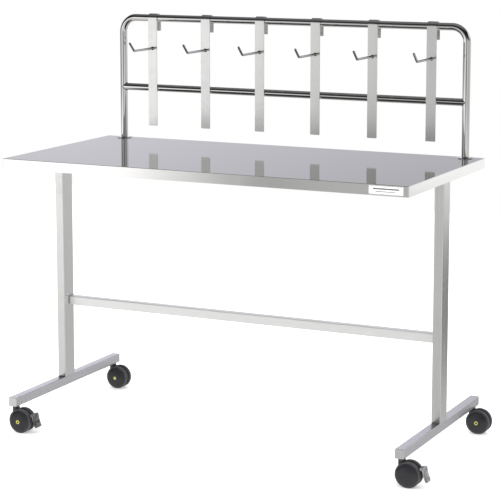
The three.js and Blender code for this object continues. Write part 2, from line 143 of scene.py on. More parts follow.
def clear() -> None:
    """Leaves nothing selected, in object mode."""
    if bpy.context.object and bpy.context.object.mode != "OBJECT":
        bpy.ops.object.mode_set(mode="OBJECT")
    bpy.ops.object.select_all(action="DESELECT")


def _elements(net: bmesh.types.BMesh, element: Element) -> Iterable[tuple[Any, Vector, Vector]]:
    """Lists a mesh's elements with their places and directions.

    Args:
        net: The mesh in edit mode.
        element: Which elements to list.

    Returns:
        Each element with its middle and its normal, or an edge's direction.
    """
    if element is Element.FACE:
        return [(f, f.calc_center_median(), f.normal) for f in net.faces]
    if element is Element.EDGE:
        ends = [(e, e.verts[0].co, e.verts[1].co) for e in net.edges]
        return [(e, (a + b) / 2, (b - a).normalized()) for e, a, b in ends]
    return [(v, v.co, v.normal) for v in net.verts]


class Workpiece:
    """A mesh shaped move by move with the modelling operators."""

    def __init__(self, name: str) -> None:
        """Takes up the primitive that was just added.

        Args:
            name: The piece's name.
        """
        self.thing: bpy.types.Object = bpy.context.object
        self.thing.name = self.thing.data.name = name
        bpy.ops.object.transform_apply(location=True, rotation=True, scale=True)

    @classmethod
    def block(cls, name: str, low: Vector, high: Vector) -> "Workpiece":
        """Adds a box.

        Args:
            name: The piece's name.
            low: Its lowest corner.
            high: Its highest corner.

        Returns:
            The new piece.
        """
        clear()
        bpy.ops.mesh.primitive_cube_add(size=1.0, location=(low + high) / 2, scale=high - low)
        return cls(name)

    @classmethod
    def drum(cls, name: str, centre: Vector, radius: float, length: float, axis: Axis,
             sides: int = 48, ends: str = "NGON") -> "Workpiece":
        """Adds a cylinder.

        Args:
            name: The piece's name.
            centre: Its middle.
            radius: Its radius.
            length: Its length.
            axis: The direction of its axis.
            sides: How many sides it has.
            ends: How its ends are closed.

        Returns:
            The new piece.
        """
        clear()
        bpy.ops.mesh.primitive_cylinder_add(
            vertices=sides, radius=radius, depth=length, end_fill_type=ends,
            location=centre, rotation=axis.laid)
        return cls(name)

    @classmethod
    def hoop(cls, name: str, centre: Vector, radius: float, axis: Axis, sides: int = 40) -> "Workpiece":
        """Adds an open circle, the start of a tube.

        Args:
            name: The piece's name.
            centre: Its middle.
            radius: Its radius.
            axis: The direction it faces.
            sides: How many sides it has.

        Returns:
            The new piece.
        """
        clear()
        bpy.ops.mesh.primitive_circle_add(
            vertices=sides, radius=radius, fill_type="NOTHING", location=centre, rotation=axis.laid)
        return cls(name)

    @classmethod
    def patch(cls, name: str, centre: Vector, size: Vector) -> "Workpiece":
        """Adds a flat rectangle.

        Args:
            name: The piece's name.
            centre: Its middle.
            size: Its size along each axis, 0 along the one it faces.

        Returns:
            The new piece.
        """
        clear()
        flat = min(Axis, key=lambda axis: abs(size.dot(axis.vector)))
        bpy.ops.mesh.primitive_plane_add(size=1.0, location=centre, rotation=flat.laid)
        return cls(name).pick(Element.FACE).resize([max(length, NEAR) for length in size], centre)

    @classmethod
    def turned(cls, name: str, profile: Sequence[Point], centre: Vector, axis: Axis,
               side: float = 1.0, steps: int = 64) -> "Workpiece":
        """Spins a profile round an axis.

        Args:
            name: The piece's name.
            profile: Pairs of a radius and a distance along the axis.
            centre: Where the axis's zero is.
            axis: The axis of the spin.
            side: Which way along the axis the distances go, 1 or -1.
            steps: How many steps the spin has.

        Returns:
            The new piece.
        """
        clear()
        out = Axis.X if axis is not Axis.X else Axis.Z
        places = [centre + out.vector * r + axis.vector * (side * d) for r, d in profile]
        bpy.ops.mesh.primitive_plane_add(size=MM, location=places[0])
        piece = cls(name)
        piece.pick(Element.VERT)
        bpy.ops.mesh.merge(type="CENTER")
        for here, there in zip(places, places[1:]):
            bpy.ops.mesh.extrude_vertices_move(TRANSFORM_OT_translate={"value": there - here})
        piece.pick(Element.VERT).spin(steps, 2 * math.pi, centre, axis)
        return piece.merged(MM / 100).outward()

    @classmethod
    def traced(cls, name: str, node: str) -> "Workpiece":
        """Takes a merged copy of a CAD node to work on.

        Args:
            name: The piece's name.
            node: The CAD node.

        Returns:
            The new piece.
        """
        clear()
        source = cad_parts[node]
        twin = bpy.data.objects.new(name, source.data.copy())
        twin.data.materials.clear()
        bpy.context.collection.objects.link(twin)
        bpy.context.view_layer.objects.active = twin
        twin.select_set(True)
        piece = cls(name)
        piece.merged(MM / 100).pick(Element.FACE)
        bpy.ops.mesh.dissolve_limited(angle_limit=math.radians(1))
        return piece

    def pick(self, element: Element, test: Test | None = None) -> "Workpiece":
        """Selects elements by their place and direction, in edit mode.

        Args:
            element: What to select.
            test: Says whether an element at a place, facing a way, is wanted; all are without it.

        Returns:
            The piece itself.
        """
        if self.thing.mode != "EDIT":
            self.rest()
            bpy.ops.object.mode_set(mode="EDIT")
        bpy.context.tool_settings.mesh_select_mode = element.value
        bpy.ops.mesh.select_all(action="DESELECT" if test else "SELECT")
        if test:
            net = bmesh.from_edit_mesh(self.thing.data)
            for item, place, facing in _elements(net, element):
                if test(place, facing):
                    item.select_set(True)
            net.select_flush_mode()
            bmesh.update_edit_mesh(self.thing.data)
        return self

    def rest(self) -> "Workpiece":
        """Leaves edit mode, with only this piece selected.

        Returns:
            The piece itself.
        """
        clear()
        bpy.context.view_layer.objects.active = self.thing
        self.thing.select_set(True)
        return self

    def extrude(self, move: Sequence[float]) -> "Workpiece":
        """Extrudes what is selected along a move."""
        bpy.ops.mesh.extrude_region_move(TRANSFORM_OT_translate={"value": move})
        return self

    def inset(self, width: float, depth: float = 0.0) -> "Workpiece":
        """Insets the selected faces, and lifts them by depth."""
        bpy.ops.mesh.inset(thickness=width, depth=depth)
        return self

    def resize(self, factors: Sequence[float], centre: Vector) -> "Workpiece":
        """Scales what is selected about a centre."""
        bpy.ops.transform.resize(value=factors, center_override=centre)
        return self

    def rotate(self, angle: float, centre: Vector, axis: Axis) -> "Workpiece":
        """Turns what is selected by the right-hand rule about an axis."""
        bpy.ops.transform.rotate(value=-angle, orient_axis=axis.name, center_override=centre)
        return self

    def spin(self, steps: int, angle: float, centre: Vector, axis: Axis) -> "Workpiece":
        """Sweeps what is selected round an axis by the right-hand rule."""
        bpy.ops.mesh.spin(steps=steps, angle=-angle, center=centre, axis=axis.value)
        return self

    def bevel(self, width: float, segments: int = 3, corners: bool = False) -> "Workpiece":
        """Rounds the selected edges, or corners."""
        bpy.ops.mesh.bevel(
            offset=width, segments=segments, affect="VERTICES" if corners else "EDGES", clamp_overlap=True)
        return self

    def cap(self) -> "Workpiece":
        """Closes the selected loop with a face."""
        bpy.ops.mesh.edge_face_add()
        return self

    def merged(self, gap: float) -> "Workpiece":
        """Merges the vertices that are close together.

        Args:
            gap: The distance below which they merge.

        Returns:
            The piece itself.
        """
        self.pick(Element.VERT)
        bpy.ops.mesh.remove_doubles(threshold=gap)
        return self

    def outward(self) -> "Workpiece":
        """Turns all faces outwards.

        Returns:
            The piece itself.
        """
        self.pick(Element.FACE)
        bpy.ops.mesh.normals_make_consistent(inside=False)
        return self

    def modify(self, kind: str, **settings: Any) -> "Workpiece":
        """Adds a modifier and applies it.

        Args:
            kind: The modifier's type.
            **settings: Its settings.

        Returns:
            The piece itself.
        """
        self.rest()
        modifier = self.thing.modifiers.new(kind.title(), kind)
        for key, value in settings.items():
            setattr(modifier, key, value)
        bpy.ops.object.modifier_apply(modifier=modifier.name)
        return self

    def soften(self, width: float, segments: int, angle: float) -> "Workpiece":
        """Rounds every edge that is sharper than an angle in degrees."""
        return self.modify("BEVEL", width=width, segments=segments, limit_method="ANGLE",
                           angle_limit=math.radians(angle))

    def joined(self, other: "Workpiece", operation: str = "UNION") -> "Workpiece":
        """Joins another piece to this one, or cuts it out, and uses it up.

        Args:
            other: The other piece.
            operation: UNION or DIFFERENCE.

        Returns:
            The piece itself.
        """
        other.rest()
        clear()
        self.modify("BOOLEAN", operation=operation, object=other.thing, solver="EXACT")
        bpy.data.objects.remove(other.thing)
        return self

    def with_parts(self, *others: "Workpiece") -> "Workpiece":
        """Makes other pieces part of this one, each keeping its own skin.

        Args:
            *others: The pieces, which are used up.

        Returns:
            The piece itself.
        """
        self.rest()
        for other in others:
            other.thing.select_set(True)
        bpy.ops.object.join()
        return self

    def smooth(self, angle: float = 35.0, weighted: bool = True) -> "Workpiece":
        """Shades the piece smooth up to an angle.

        Args:
            angle: The largest angle that stays smooth, in degrees.
            weighted: Whether broad faces keep their own normals.

        Returns:
            The piece itself.
        """
        self.rest()
        bpy.ops.object.shade_smooth_by_angle(angle=math.radians(angle))
        if weighted:
            self.modify("WEIGHTED_NORMAL", keep_sharp=True, mode="FACE_AREA", weight=90)
        return self

    def copy(self, name: str, move: Matrix) -> "Workpiece":
        """Copies the piece, with a mesh of its own.

        Args:
            name: The copy's name.
            move: Where its mesh goes.

        Returns:
            The copy.
        """
        self.rest()
        clear()
        twin = object.__new__(Workpiece)
        twin.thing = self.thing.copy()
        twin.thing.data = self.thing.data.copy()
        twin.thing.name = twin.thing.data.name = name
        twin.thing.data.transform(move)
        bpy.context.collection.objects.link(twin.thing)
        return twin

    def scrap(self) -> None:
        """Throws the pattern piece away once its copies are made."""
        bpy.data.objects.remove(self.thing)

    def fit(self, body: str, slot: str, finish: bpy.types.Material, *nodes: str) -> "Workpiece":
        """Dresses the finished piece and hands it to its body.

        Args:
            body: The CAD body it rides on.
            slot: The record's slot that its finish belongs to; not used.
            finish: Its material.
            *nodes: The CAD nodes it stands for.

        Returns:
            The piece itself.
        """
        clear()
        self.thing.data.materials.clear()
        self.thing.data.materials.append(finish)
        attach(self.thing, body)
        if nodes:
            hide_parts(*nodes)
        LOG.info("%s: %d faces, on %s", self.thing.name, len(self.thing.data.polygons), body)
        return self


class Wiring:
    """Adds and joins the nodes of one tree."""

    def __init__(self, tree: bpy.types.NodeTree) -> None:
        """Works on a tree."""
        self.tree = tree

    def node(self, kind: str, inputs: dict[str | int, Any] | None = None, **settings: Any) -> bpy.types.Node:
        """Adds a node.

        Args:
            kind: The node's type, without its ShaderNode prefix.
            inputs: A value or another node's socket for each named or numbered input.
            **settings: The node's own settings.

        Returns:
            The new node.
        """
        made = self.tree.nodes.new(f"ShaderNode{kind}")
        for key, value in settings.items():
            setattr(made, key, value)
        for key, value in (inputs or {}).items():
            if isinstance(value, bpy.types.NodeSocket):
                self.tree.links.new(value, made.inputs[key])
            else:
                made.inputs[key].default_value = value
        return made

    def math(self, operation: str, a: Any, b: Any = 0.0) -> bpy.types.NodeSocket:
        """Adds a sum on two values and gives its result."""
        return self.node("Math", {0: a, 1: b}, operation=operation).outputs[0]

    def ramp(self, value: Any, stops: Sequence[tuple[float, float]]) -> bpy.types.NodeSocket:
        """Adds a ramp of greys.

        Args:
            value: What the ramp reads, from 0 to 1.
            stops: Pairs of a place and a grey, from 0 to 1.

        Returns:
            The ramp's colour socket.
        """
        made = self.node("ValToRGB", {"Fac": value})
        points = made.color_ramp.elements
        points[0].position, points[1].position = stops[0][0], stops[-1][0]
        for place, _ in stops[1:-1]:
            points.new(place)
        for point, (_, grey) in zip(points, stops):
            point.color = (grey, grey, grey, 1.0)
        return made.outputs["Color"]

    def place(self) -> bpy.types.NodeSocket:
        """Adds the point on the piece, in the object's frame."""
        return self.node("TexCoord").outputs["Object"]

    def noise(self, place: Any, scale: Any, detail: float, output: int = 0,
              **inputs: float) -> bpy.types.NodeSocket:
        """Adds a noise and gives its value, or its colour as output 1."""
        inputs = {"Vector": place, "Scale": scale, "Detail": detail, **inputs}
        return self.node("TexNoise", inputs).outputs[output]

    def span(self, value: Any, start: Any, end: Any, low: Any = 0.0,
             high: Any = 1.0) -> bpy.types.NodeSocket:
        """Adds a map of the values from start to end onto low to high and gives its result."""
        return self.node("MapRange", dict(enumerate((value, start, end, low, high)))).outputs[0]

    def mix(self, factor: Any, a: Any, b: Any) -> bpy.types.NodeSocket:
        """Adds a mix of two colours.

        Args:
            factor: The share of the second colour.
            a: The first colour.
            b: The second colour.

        Returns:
            The mix's colour socket.
        """
        made = self.node("Mix", data_type="RGBA")
        for number, value in zip(MIX_INPUTS, (factor, a, b)):
            socket = made.inputs[number]
            if isinstance(value, bpy.types.NodeSocket):
                self.tree.links.new(value, socket)
            else:
                socket.default_value = value if isinstance(value, float) else (*value[:3], 1.0)
        return made.outputs[MIX_OUTPUT]

    def product(self, a: Any, b: Any) -> bpy.types.NodeSocket:
        """Adds a product of two colours and gives its result."""
        return self.node("VectorMath", {0: a, 1: b}, operation="MULTIPLY").outputs[0]


@dataclass(frozen=True)
class Effect:
    """A surface effect, built once as a node group and placed in many materials."""

    label: str
    inputs: tuple[tuple[str, str, Any], ...]
    outputs: tuple[str, ...]
    recipe: Callable[[Wiring, bpy.types.Node], dict[str, Any]]

    def tree(self) -> bpy.types.NodeTree:
        """Gives the effect's node group, and builds it the first time.

        Returns:
            The group.
        """
        if self.label in bpy.data.node_groups:
            return bpy.data.node_groups[self.label]
        group = bpy.data.node_groups.new(self.label, "ShaderNodeTree")
        for name, kind, default in self.inputs:
            socket = group.interface.new_socket(name=name, in_out="INPUT", socket_type=f"NodeSocket{kind}")
            socket.default_value = default
        for name in self.outputs:
            group.interface.new_socket(name=name, in_out="OUTPUT", socket_type="NodeSocketFloat")
        wiring = Wiring(group)
        start, end = group.nodes.new("NodeGroupInput"), group.nodes.new("NodeGroupOutput")
        for name, socket in self.recipe(wiring, start).items():
            group.links.new(socket, end.inputs[name])
        return group

    def place(self, wiring: Wiring, **values: Any) -> bpy.types.Node:
        """Places the effect in a material.

        Args:
            wiring: The material's wiring.
            **values: A value or socket for each input, by its name.

        Returns:
            The group node.
        """
        return wiring.node("Group", values, node_tree=self.tree())


def _brushing(w: Wiring, start: bpy.types.Node) -> dict[str, Any]:
    """Long fine strokes that run along one direction.

    Args:
        w: The group's wiring.
        start: The group's inputs.

    Returns:
        The group's outputs by name.
    """
    strokes = w.node("Mapping", {"Vector": w.place(), "Scale": start.outputs["Stretch"]}).outputs[0]
    fine = w.noise(strokes, 1.0, 5.0, Roughness=0.65)
    broad = w.noise(strokes, 0.22, 2.0)
    grain = w.math("ADD", w.math("MULTIPLY", fine, 0.65), w.math("MULTIPLY", broad, 0.35))
    spread = w.math("MULTIPLY", w.math("SUBTRACT", grain, 0.5), start.outputs["Contrast"])
    return {"Grain": w.node("Clamp", {0: w.math("ADD", spread, 0.5)}).outputs[0], "Height": grain}


def _clouding(w: Wiring, start: bpy.types.Node) -> dict[str, Any]:
    """Soft broad patches, between a low and a high value.

    Args:
        w: The group's wiring.
        start: The group's inputs.

    Returns:
        The group's outputs by name.
    """
    noise = w.noise(w.place(), start.outputs["Scale"], 3.0)
    return {"Value": w.span(noise, 0.3, 0.7, start.outputs["Low"], start.outputs["High"])}


def _smudging(w: Wiring, start: bpy.types.Node) -> dict[str, Any]:
    """Wiped marks and finger marks that dull a polished surface.

    Args:
        w: The group's wiring.
        start: The group's inputs.

    Returns:
        The group's outputs by name.
    """
    place = w.place()
    bent = w.noise(place, 3.0, 1.0, output=1)
    drift = w.node("VectorMath", {0: place, 1: bent}, operation="ADD").outputs[0]
    marks = w.noise(drift, start.outputs["Scale"], 6.0, Roughness=0.7, Distortion=0.6)
    return {"Mask": w.span(marks, 0.48, 0.75, 0.0, start.outputs["Amount"])}


def _wearing(w: Wiring, start: bpy.types.Node) -> dict[str, Any]:
    """Rubbed edges, broken up by noise.

    Args:
        w: The group's wiring.
        start: The group's inputs.

    Returns:
        The group's outputs by name.
    """
    edge = w.node("NewGeometry").outputs["Pointiness"]
    broken = w.math("MULTIPLY", w.span(edge, 0.52, 0.6), w.noise(w.place(), 420.0, 3.0))
    return {"Mask": w.math("MULTIPLY", broken, start.outputs["Amount"])}


def _dusting(w: Wiring, start: bpy.types.Node) -> dict[str, Any]:
    """Fine dust that lies thickest near the floor.

    Args:
        w: The group's wiring.
        start: The group's inputs.

    Returns:
        The group's outputs by name.
    """
    place = w.place()
    height = w.node("SeparateXYZ", {0: place}).outputs["Z"]
    low = w.span(height, 0.0, start.outputs["Reach"], 1.0, 0.15)
    specks = w.noise(place, 160.0, 6.0, Roughness=0.7)
    settled = w.span(specks, 0.4, 0.8, 0.0, start.outputs["Amount"])
    return {"Mask": w.math("MULTIPLY", settled, low)}


BRUSHING = Effect("brushed grain", (("Stretch", "Vector", (1.0, 1.0, 1.0)), ("Contrast", "Float", 2.0)),
                  ("Grain", "Height"), _brushing)
CLOUDING = Effect("clouding", (("Scale", "Float", 4.0), ("Low", "Float", 0.0), ("High", "Float", 1.0)),
                  ("Value",), _clouding)
SMUDGING = Effect("wiped marks", (("Scale", "Float", 6.0), ("Amount", "Float", 0.1)), ("Mask",), _smudging)
WEARING = Effect("rubbed edges", (("Amount", "Float", 0.5),), ("Mask",), _wearing)
DUSTING = Effect("settled dust", (("Reach", "Float", 0.1), ("Amount", "Float", 0.3)), ("Mask",), _dusting)


def _material(label: str) -> tuple[bpy.types.Material, Wiring, bpy.types.Node]:
    """Starts a material.

    Args:
        label: Its name.

    Returns:
        The material, its wiring and its shader.
    """
    made = bpy.data.materials.new(label)
    made.use_nodes = True
    return made, Wiring(made.node_tree), made.node_tree.nodes["Principled BSDF"]


@dataclass(frozen=True)
class Metal:
    """Bare steel, from satin to mirror."""

    label: str
    tint: Colour
    shade: Colour
    roughness: float
    swing: float
    stretch: Triple
    contrast: float = 2.0
    relief: float = 0.0
    waviness: float = 0.0
    smudge: float = 0.05
    dust: float = 0.0
    metal: float = 1.0

    def build(self) -> bpy.types.Material:
        """Makes the material.

        Returns:
            The material.
        """
        made, w, shader = _material(self.label)
        grain = BRUSHING.place(w, Stretch=self.stretch, Contrast=self.contrast)
        cloud = CLOUDING.place(w, Scale=5.0, Low=0.0, High=1.0).outputs["Value"]
        mark = SMUDGING.place(w, Scale=7.0, Amount=self.smudge).outputs["Mask"]
        tone = w.math("ADD", w.math("MULTIPLY", grain.outputs["Grain"], 0.7), w.math("MULTIPLY", cloud, 0.3))
        colour = w.mix(tone, self.shade, self.tint)
        duller, shinier = self.roughness + self.swing, self.roughness - self.swing
        rough = w.math("ADD", w.span(grain.outputs["Grain"], 0.0, 1.0, shinier, duller), mark)
        if self.dust:
            film = DUSTING.place(w, Reach=0.2, Amount=self.dust).outputs["Mask"]
            colour = w.mix(film, colour, (0.62, 0.6, 0.57))
            rough = w.math("ADD", rough, w.math("MULTIPLY", film, 0.3))
        tree = made.node_tree
        tree.links.new(colour, shader.inputs["Base Color"])
        tree.links.new(rough, shader.inputs["Roughness"])
        shader.inputs["Metallic"].default_value = self.metal
        swell = w.noise(w.place(), 2.6, 0.0)
        height = w.math("ADD", w.math("MULTIPLY", grain.outputs["Height"], self.relief),
                        w.math("MULTIPLY", swell, self.waviness))
        bump = w.node("Bump", {"Height": height, "Strength": 1.0, "Distance": 1.0})
        tree.links.new(bump.outputs[0], shader.inputs["Normal"])
        return made


@dataclass(frozen=True)
class Moulding:
    """Moulded plastic or rubber, fine grained, a little rubbed and dusty."""

    label: str
    tint: Colour
    shade: Colour
    roughness: float
    swing: float = 0.06
    grain: float = 900.0
    relief: float = 0.00003
    wear: float = 0.5
    worn: Colour = (0.35, 0.35, 0.36)
    dust: float = 0.1
    coat: float = 0.0

    def build(self) -> bpy.types.Material:
        """Makes the material.

        Returns:
            The material.
        """
        made, w, shader = _material(self.label)
        speck = w.noise(w.place(), self.grain, 3.0)
        cloud = CLOUDING.place(w, Scale=45.0, Low=0.0, High=1.0).outputs["Value"]
        tone = w.math("ADD", w.math("MULTIPLY", speck, 0.5), w.math("MULTIPLY", cloud, 0.5))
        rub = WEARING.place(w, Amount=self.wear).outputs["Mask"]
        film = DUSTING.place(w, Reach=0.08, Amount=self.dust).outputs["Mask"]
        colour = w.mix(rub, w.mix(tone, self.shade, self.tint), self.worn)
        colour = w.mix(film, colour, (0.45, 0.44, 0.42))
        rough = w.span(tone, 0.2, 0.8, self.roughness - self.swing, self.roughness + self.swing)
        tree = made.node_tree
        tree.links.new(colour, shader.inputs["Base Color"])
        tree.links.new(w.math("ADD", rough, w.math("MULTIPLY", film, 0.4)), shader.inputs["Roughness"])
        shader.inputs["Coat Weight"].default_value = self.coat
        bump = w.node("Bump", {"Height": w.math("MULTIPLY", speck, self.relief), "Distance": 1.0})
        tree.links.new(bump.outputs[0], shader.inputs["Normal"])
        return made


STROKES_X: Triple = (9.0, 700.0, 700.0)
STROKES_Y: Triple = (700.0, 9.0, 700.0)
STROKES_Z: Triple = (700.0, 700.0, 9.0)
ALL_WAYS: Triple = (160.0, 160.0, 160.0)


@dataclass
class Finishes:
    """Every finish of the object, built once."""

    mirror: bpy.types.Material = field(init=False)
    satin_x: bpy.types.Material = field(init=False)
    satin_y: bpy.types.Material = field(init=False)
    satin_z: bpy.types.Material = field(init=False)
    strap: bpy.types.Material = field(init=False)
    tube: bpy.types.Material = field(init=False)
    rod: bpy.types.Material = field(init=False)
    weld: bpy.types.Material = field(init=False)
    zinc: bpy.types.Material = field(init=False)
    plate: bpy.types.Material = field(init=False)
    print: bpy.types.Material = field(init=False)
    nylon: bpy.types.Material = field(init=False)
    cover: bpy.types.Material = field(init=False)
    tread: bpy.types.Material = field(init=False)
    # The two pedal finishes are one grey plastic in a lit copy and a shaded copy: the lighter one is painted
    # light, the darker one painted shade.
    pedal: bpy.types.Material = field(init=False)
    shaded_pedal: bpy.types.Material = field(init=False)
    marker: bpy.types.Material = field(init=False)

    def __post_init__(self) -> None:
        """Builds the finishes."""
        bright, dim = (0.74, 0.735, 0.725), (0.7, 0.695, 0.685)
        self.mirror = Metal("mirror sheet", bright, dim, 0.05, 0.015, (12.0, 260.0, 260.0),
                            relief=0.0000008, waviness=0.00012, smudge=0.05).build()
        self.satin_x = Metal("satin steel across", (0.93, 0.93, 0.92), (0.84, 0.84, 0.83), 0.32, 0.06,
                             STROKES_X, contrast=2.6, relief=0.000004, smudge=0.06, dust=0.1,
                             metal=0.78).build()
        self.satin_y = Metal("satin steel deep", (0.74, 0.73, 0.76), (0.63, 0.62, 0.65), 0.28, 0.06,
                             STROKES_Y, contrast=2.6, relief=0.000004, smudge=0.06, dust=0.12).build()
        self.satin_z = Metal("satin steel upright", (0.8, 0.8, 0.785), (0.7, 0.7, 0.685), 0.22, 0.05,
                             STROKES_Z, contrast=2.6, relief=0.000004, smudge=0.05, dust=0.12).build()
        self.strap = Metal("satin strap", (0.8, 0.8, 0.79), (0.7, 0.7, 0.69), 0.2, 0.05, STROKES_Z,
                           relief=0.000003, smudge=0.06).build()
        self.tube = Metal("polished tube", (0.78, 0.77, 0.76), (0.74, 0.73, 0.72), 0.06, 0.008, STROKES_X,
                          contrast=1.2, smudge=0.015).build()
        self.rod = Metal("polished rod", (0.6, 0.59, 0.58), (0.5, 0.49, 0.48), 0.14, 0.04, STROKES_Y,
                         smudge=0.05).build()
        self.weld = Metal("weld bead", (0.5, 0.46, 0.4), (0.22, 0.2, 0.19), 0.38, 0.1, ALL_WAYS,
                          contrast=3.5, relief=0.00004).build()
        self.zinc = Metal("zinc plate", (0.62, 0.62, 0.6), (0.45, 0.45, 0.44), 0.36, 0.08, ALL_WAYS,
                          contrast=3.0, relief=0.00001, dust=0.2).build()
        self.plate = Moulding("white enamel", (0.9, 0.9, 0.89), (0.84, 0.84, 0.83), 0.3, wear=0.2,
                              worn=(0.55, 0.55, 0.55), dust=0.0, coat=0.3).build()
        self.print = Moulding("dark print", (0.06, 0.06, 0.065), (0.03, 0.03, 0.035), 0.4, dust=0.0).build()
        self.nylon = Moulding("black nylon", (0.012, 0.012, 0.014), (0.006, 0.006, 0.008), 0.4).build()
        self.cover = Moulding("charcoal cover", (0.021, 0.021, 0.027), (0.012, 0.012, 0.016), 0.36,
                              wear=0.5, dust=0.04).build()
        self.tread = Moulding("grey tread", (0.034, 0.034, 0.04), (0.018, 0.018, 0.022), 0.4, grain=500.0,
                              relief=0.00008, dust=0.12).build()
        # The pedal plastic in two tones: the lighter copy is painted light where the blade faces the light,
        # the darker copy is painted shade.
        self.pedal = Moulding("grey pedal", (0.11, 0.112, 0.118), (0.07, 0.072, 0.076), 0.34, wear=0.9,
                              worn=(0.55, 0.55, 0.54)).build()
        self.shaded_pedal = Moulding("dark pedal", (0.022, 0.022, 0.025), (0.012, 0.012, 0.014), 0.34, wear=0.7,
                                   worn=(0.4, 0.4, 0.4)).build()
        self.marker = Moulding("yellow green cap", (0.62, 0.6, 0.12), (0.45, 0.44, 0.08), 0.4, wear=0.3,
                               dust=0.1).build()


@dataclass
class TableTop:
    """The folded sheet and the blank plate on its apron."""

    finishes: Finishes
    sheet: float = 1.5 * MM
    flange: float = 14 * MM
    corner: float = 3 * MM
    fold: float = 1.4 * MM
    bore: float = 12.9 * MM
    drill: float = 20 * MM
    plate_corner: float = 2 * MM
    plate_rim: float = 1.2 * MM
    print_corner: float = 0.3 * MM
    print_sink: float = 0.15 * MM
    print_bars: tuple[tuple[float, float, float, float], ...] = (
        (0.12, 0.76, 0.56, 0.16), (0.2, 0.56, 0.3, 0.08),
        (0.008, 0.984, 0.03, 0.035), (0.008, 0.984, 0.935, 0.035),
        (0.008, 0.008, 0.03, 0.94), (0.984, 0.008, 0.03, 0.94))

    def build(self) -> None:
        """Makes the sheet and the plate."""
        self._tray()
        self._plate()

    def _tray(self) -> None:
        """Folds the tray: apron, return flange, rounded corners and the two post holes."""
        low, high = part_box("table_top")
        middle = (low + high) / 2
        half = (high.y - low.y) / 2
        narrow = (half - self.flange - self.sheet) / (half - self.sheet)
        tray = Workpiece.block("folded_tray", low, high)
        tray.pick(Element.FACE, looks_down(Axis.Z)).inset(self.sheet)
        tray.resize((1.0, narrow, 1.0), middle).extrude((0, 0, self.sheet)).extrude((0, 0, 0))
        tray.resize((1.0, 1 / narrow, 1.0), middle).extrude((0, 0, high.z - low.z - 2 * self.sheet))
        end = (high.x - low.x) / 2
        tray.pick(Element.EDGE, lambda p, d: abs(d.z) > ALIGNED and abs(p.x - middle.x) > end - NEAR
                  and abs(p.y - middle.y) > half - NEAR).bevel(self.corner, segments=5)
        tray.pick(Element.EDGE, lambda p, d: p.z > high.z - NEAR and abs(d.z) < 1 - ALIGNED)
        tray.bevel(self.fold, segments=3)
        for post in ("rosette_left", "rosette_right"):
            ring_low, ring_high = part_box(post)
            tool = Workpiece.drum("post_hole", (ring_low + ring_high) / 2, self.bore, self.drill, Axis.Z)
            tray.joined(tool, "DIFFERENCE")
        tray.smooth().fit("frame", "mirror_steel", self.finishes.mirror, "table_top")

    def _plate(self) -> None:
        """Makes the blank plate with a raised rim, a border and two plain bars in place of any wording."""
        low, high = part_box("name_plate")
        plate = Workpiece.block("blank_plate", low, high)
        plate.pick(Element.EDGE, runs_along(Axis.Y)).bevel(self.plate_corner, segments=4)
        plate.pick(Element.FACE, looks_down(Axis.Y)).inset(self.plate_rim).extrude((0, self.print_sink, 0))
        plate.smooth().fit("frame", "plate", self.finishes.plate, "name_plate")
        width, height = high.x - low.x, high.z - low.z
        for number, (start, reach, level, tall) in enumerate(self.print_bars):
            corner = Vector((low.x + start * width, low.y, low.z + level * height))
            far = corner + Vector((reach * width, self.print_sink * 2, tall * height))
            bar = Workpiece.block(f"plate_bar_{number + 1}", corner, far)
            bar.pick(Element.EDGE, runs_along(Axis.Y)).bevel(self.print_corner, segments=2)
            bar.smooth().fit("frame", "plate", self.finishes.print)


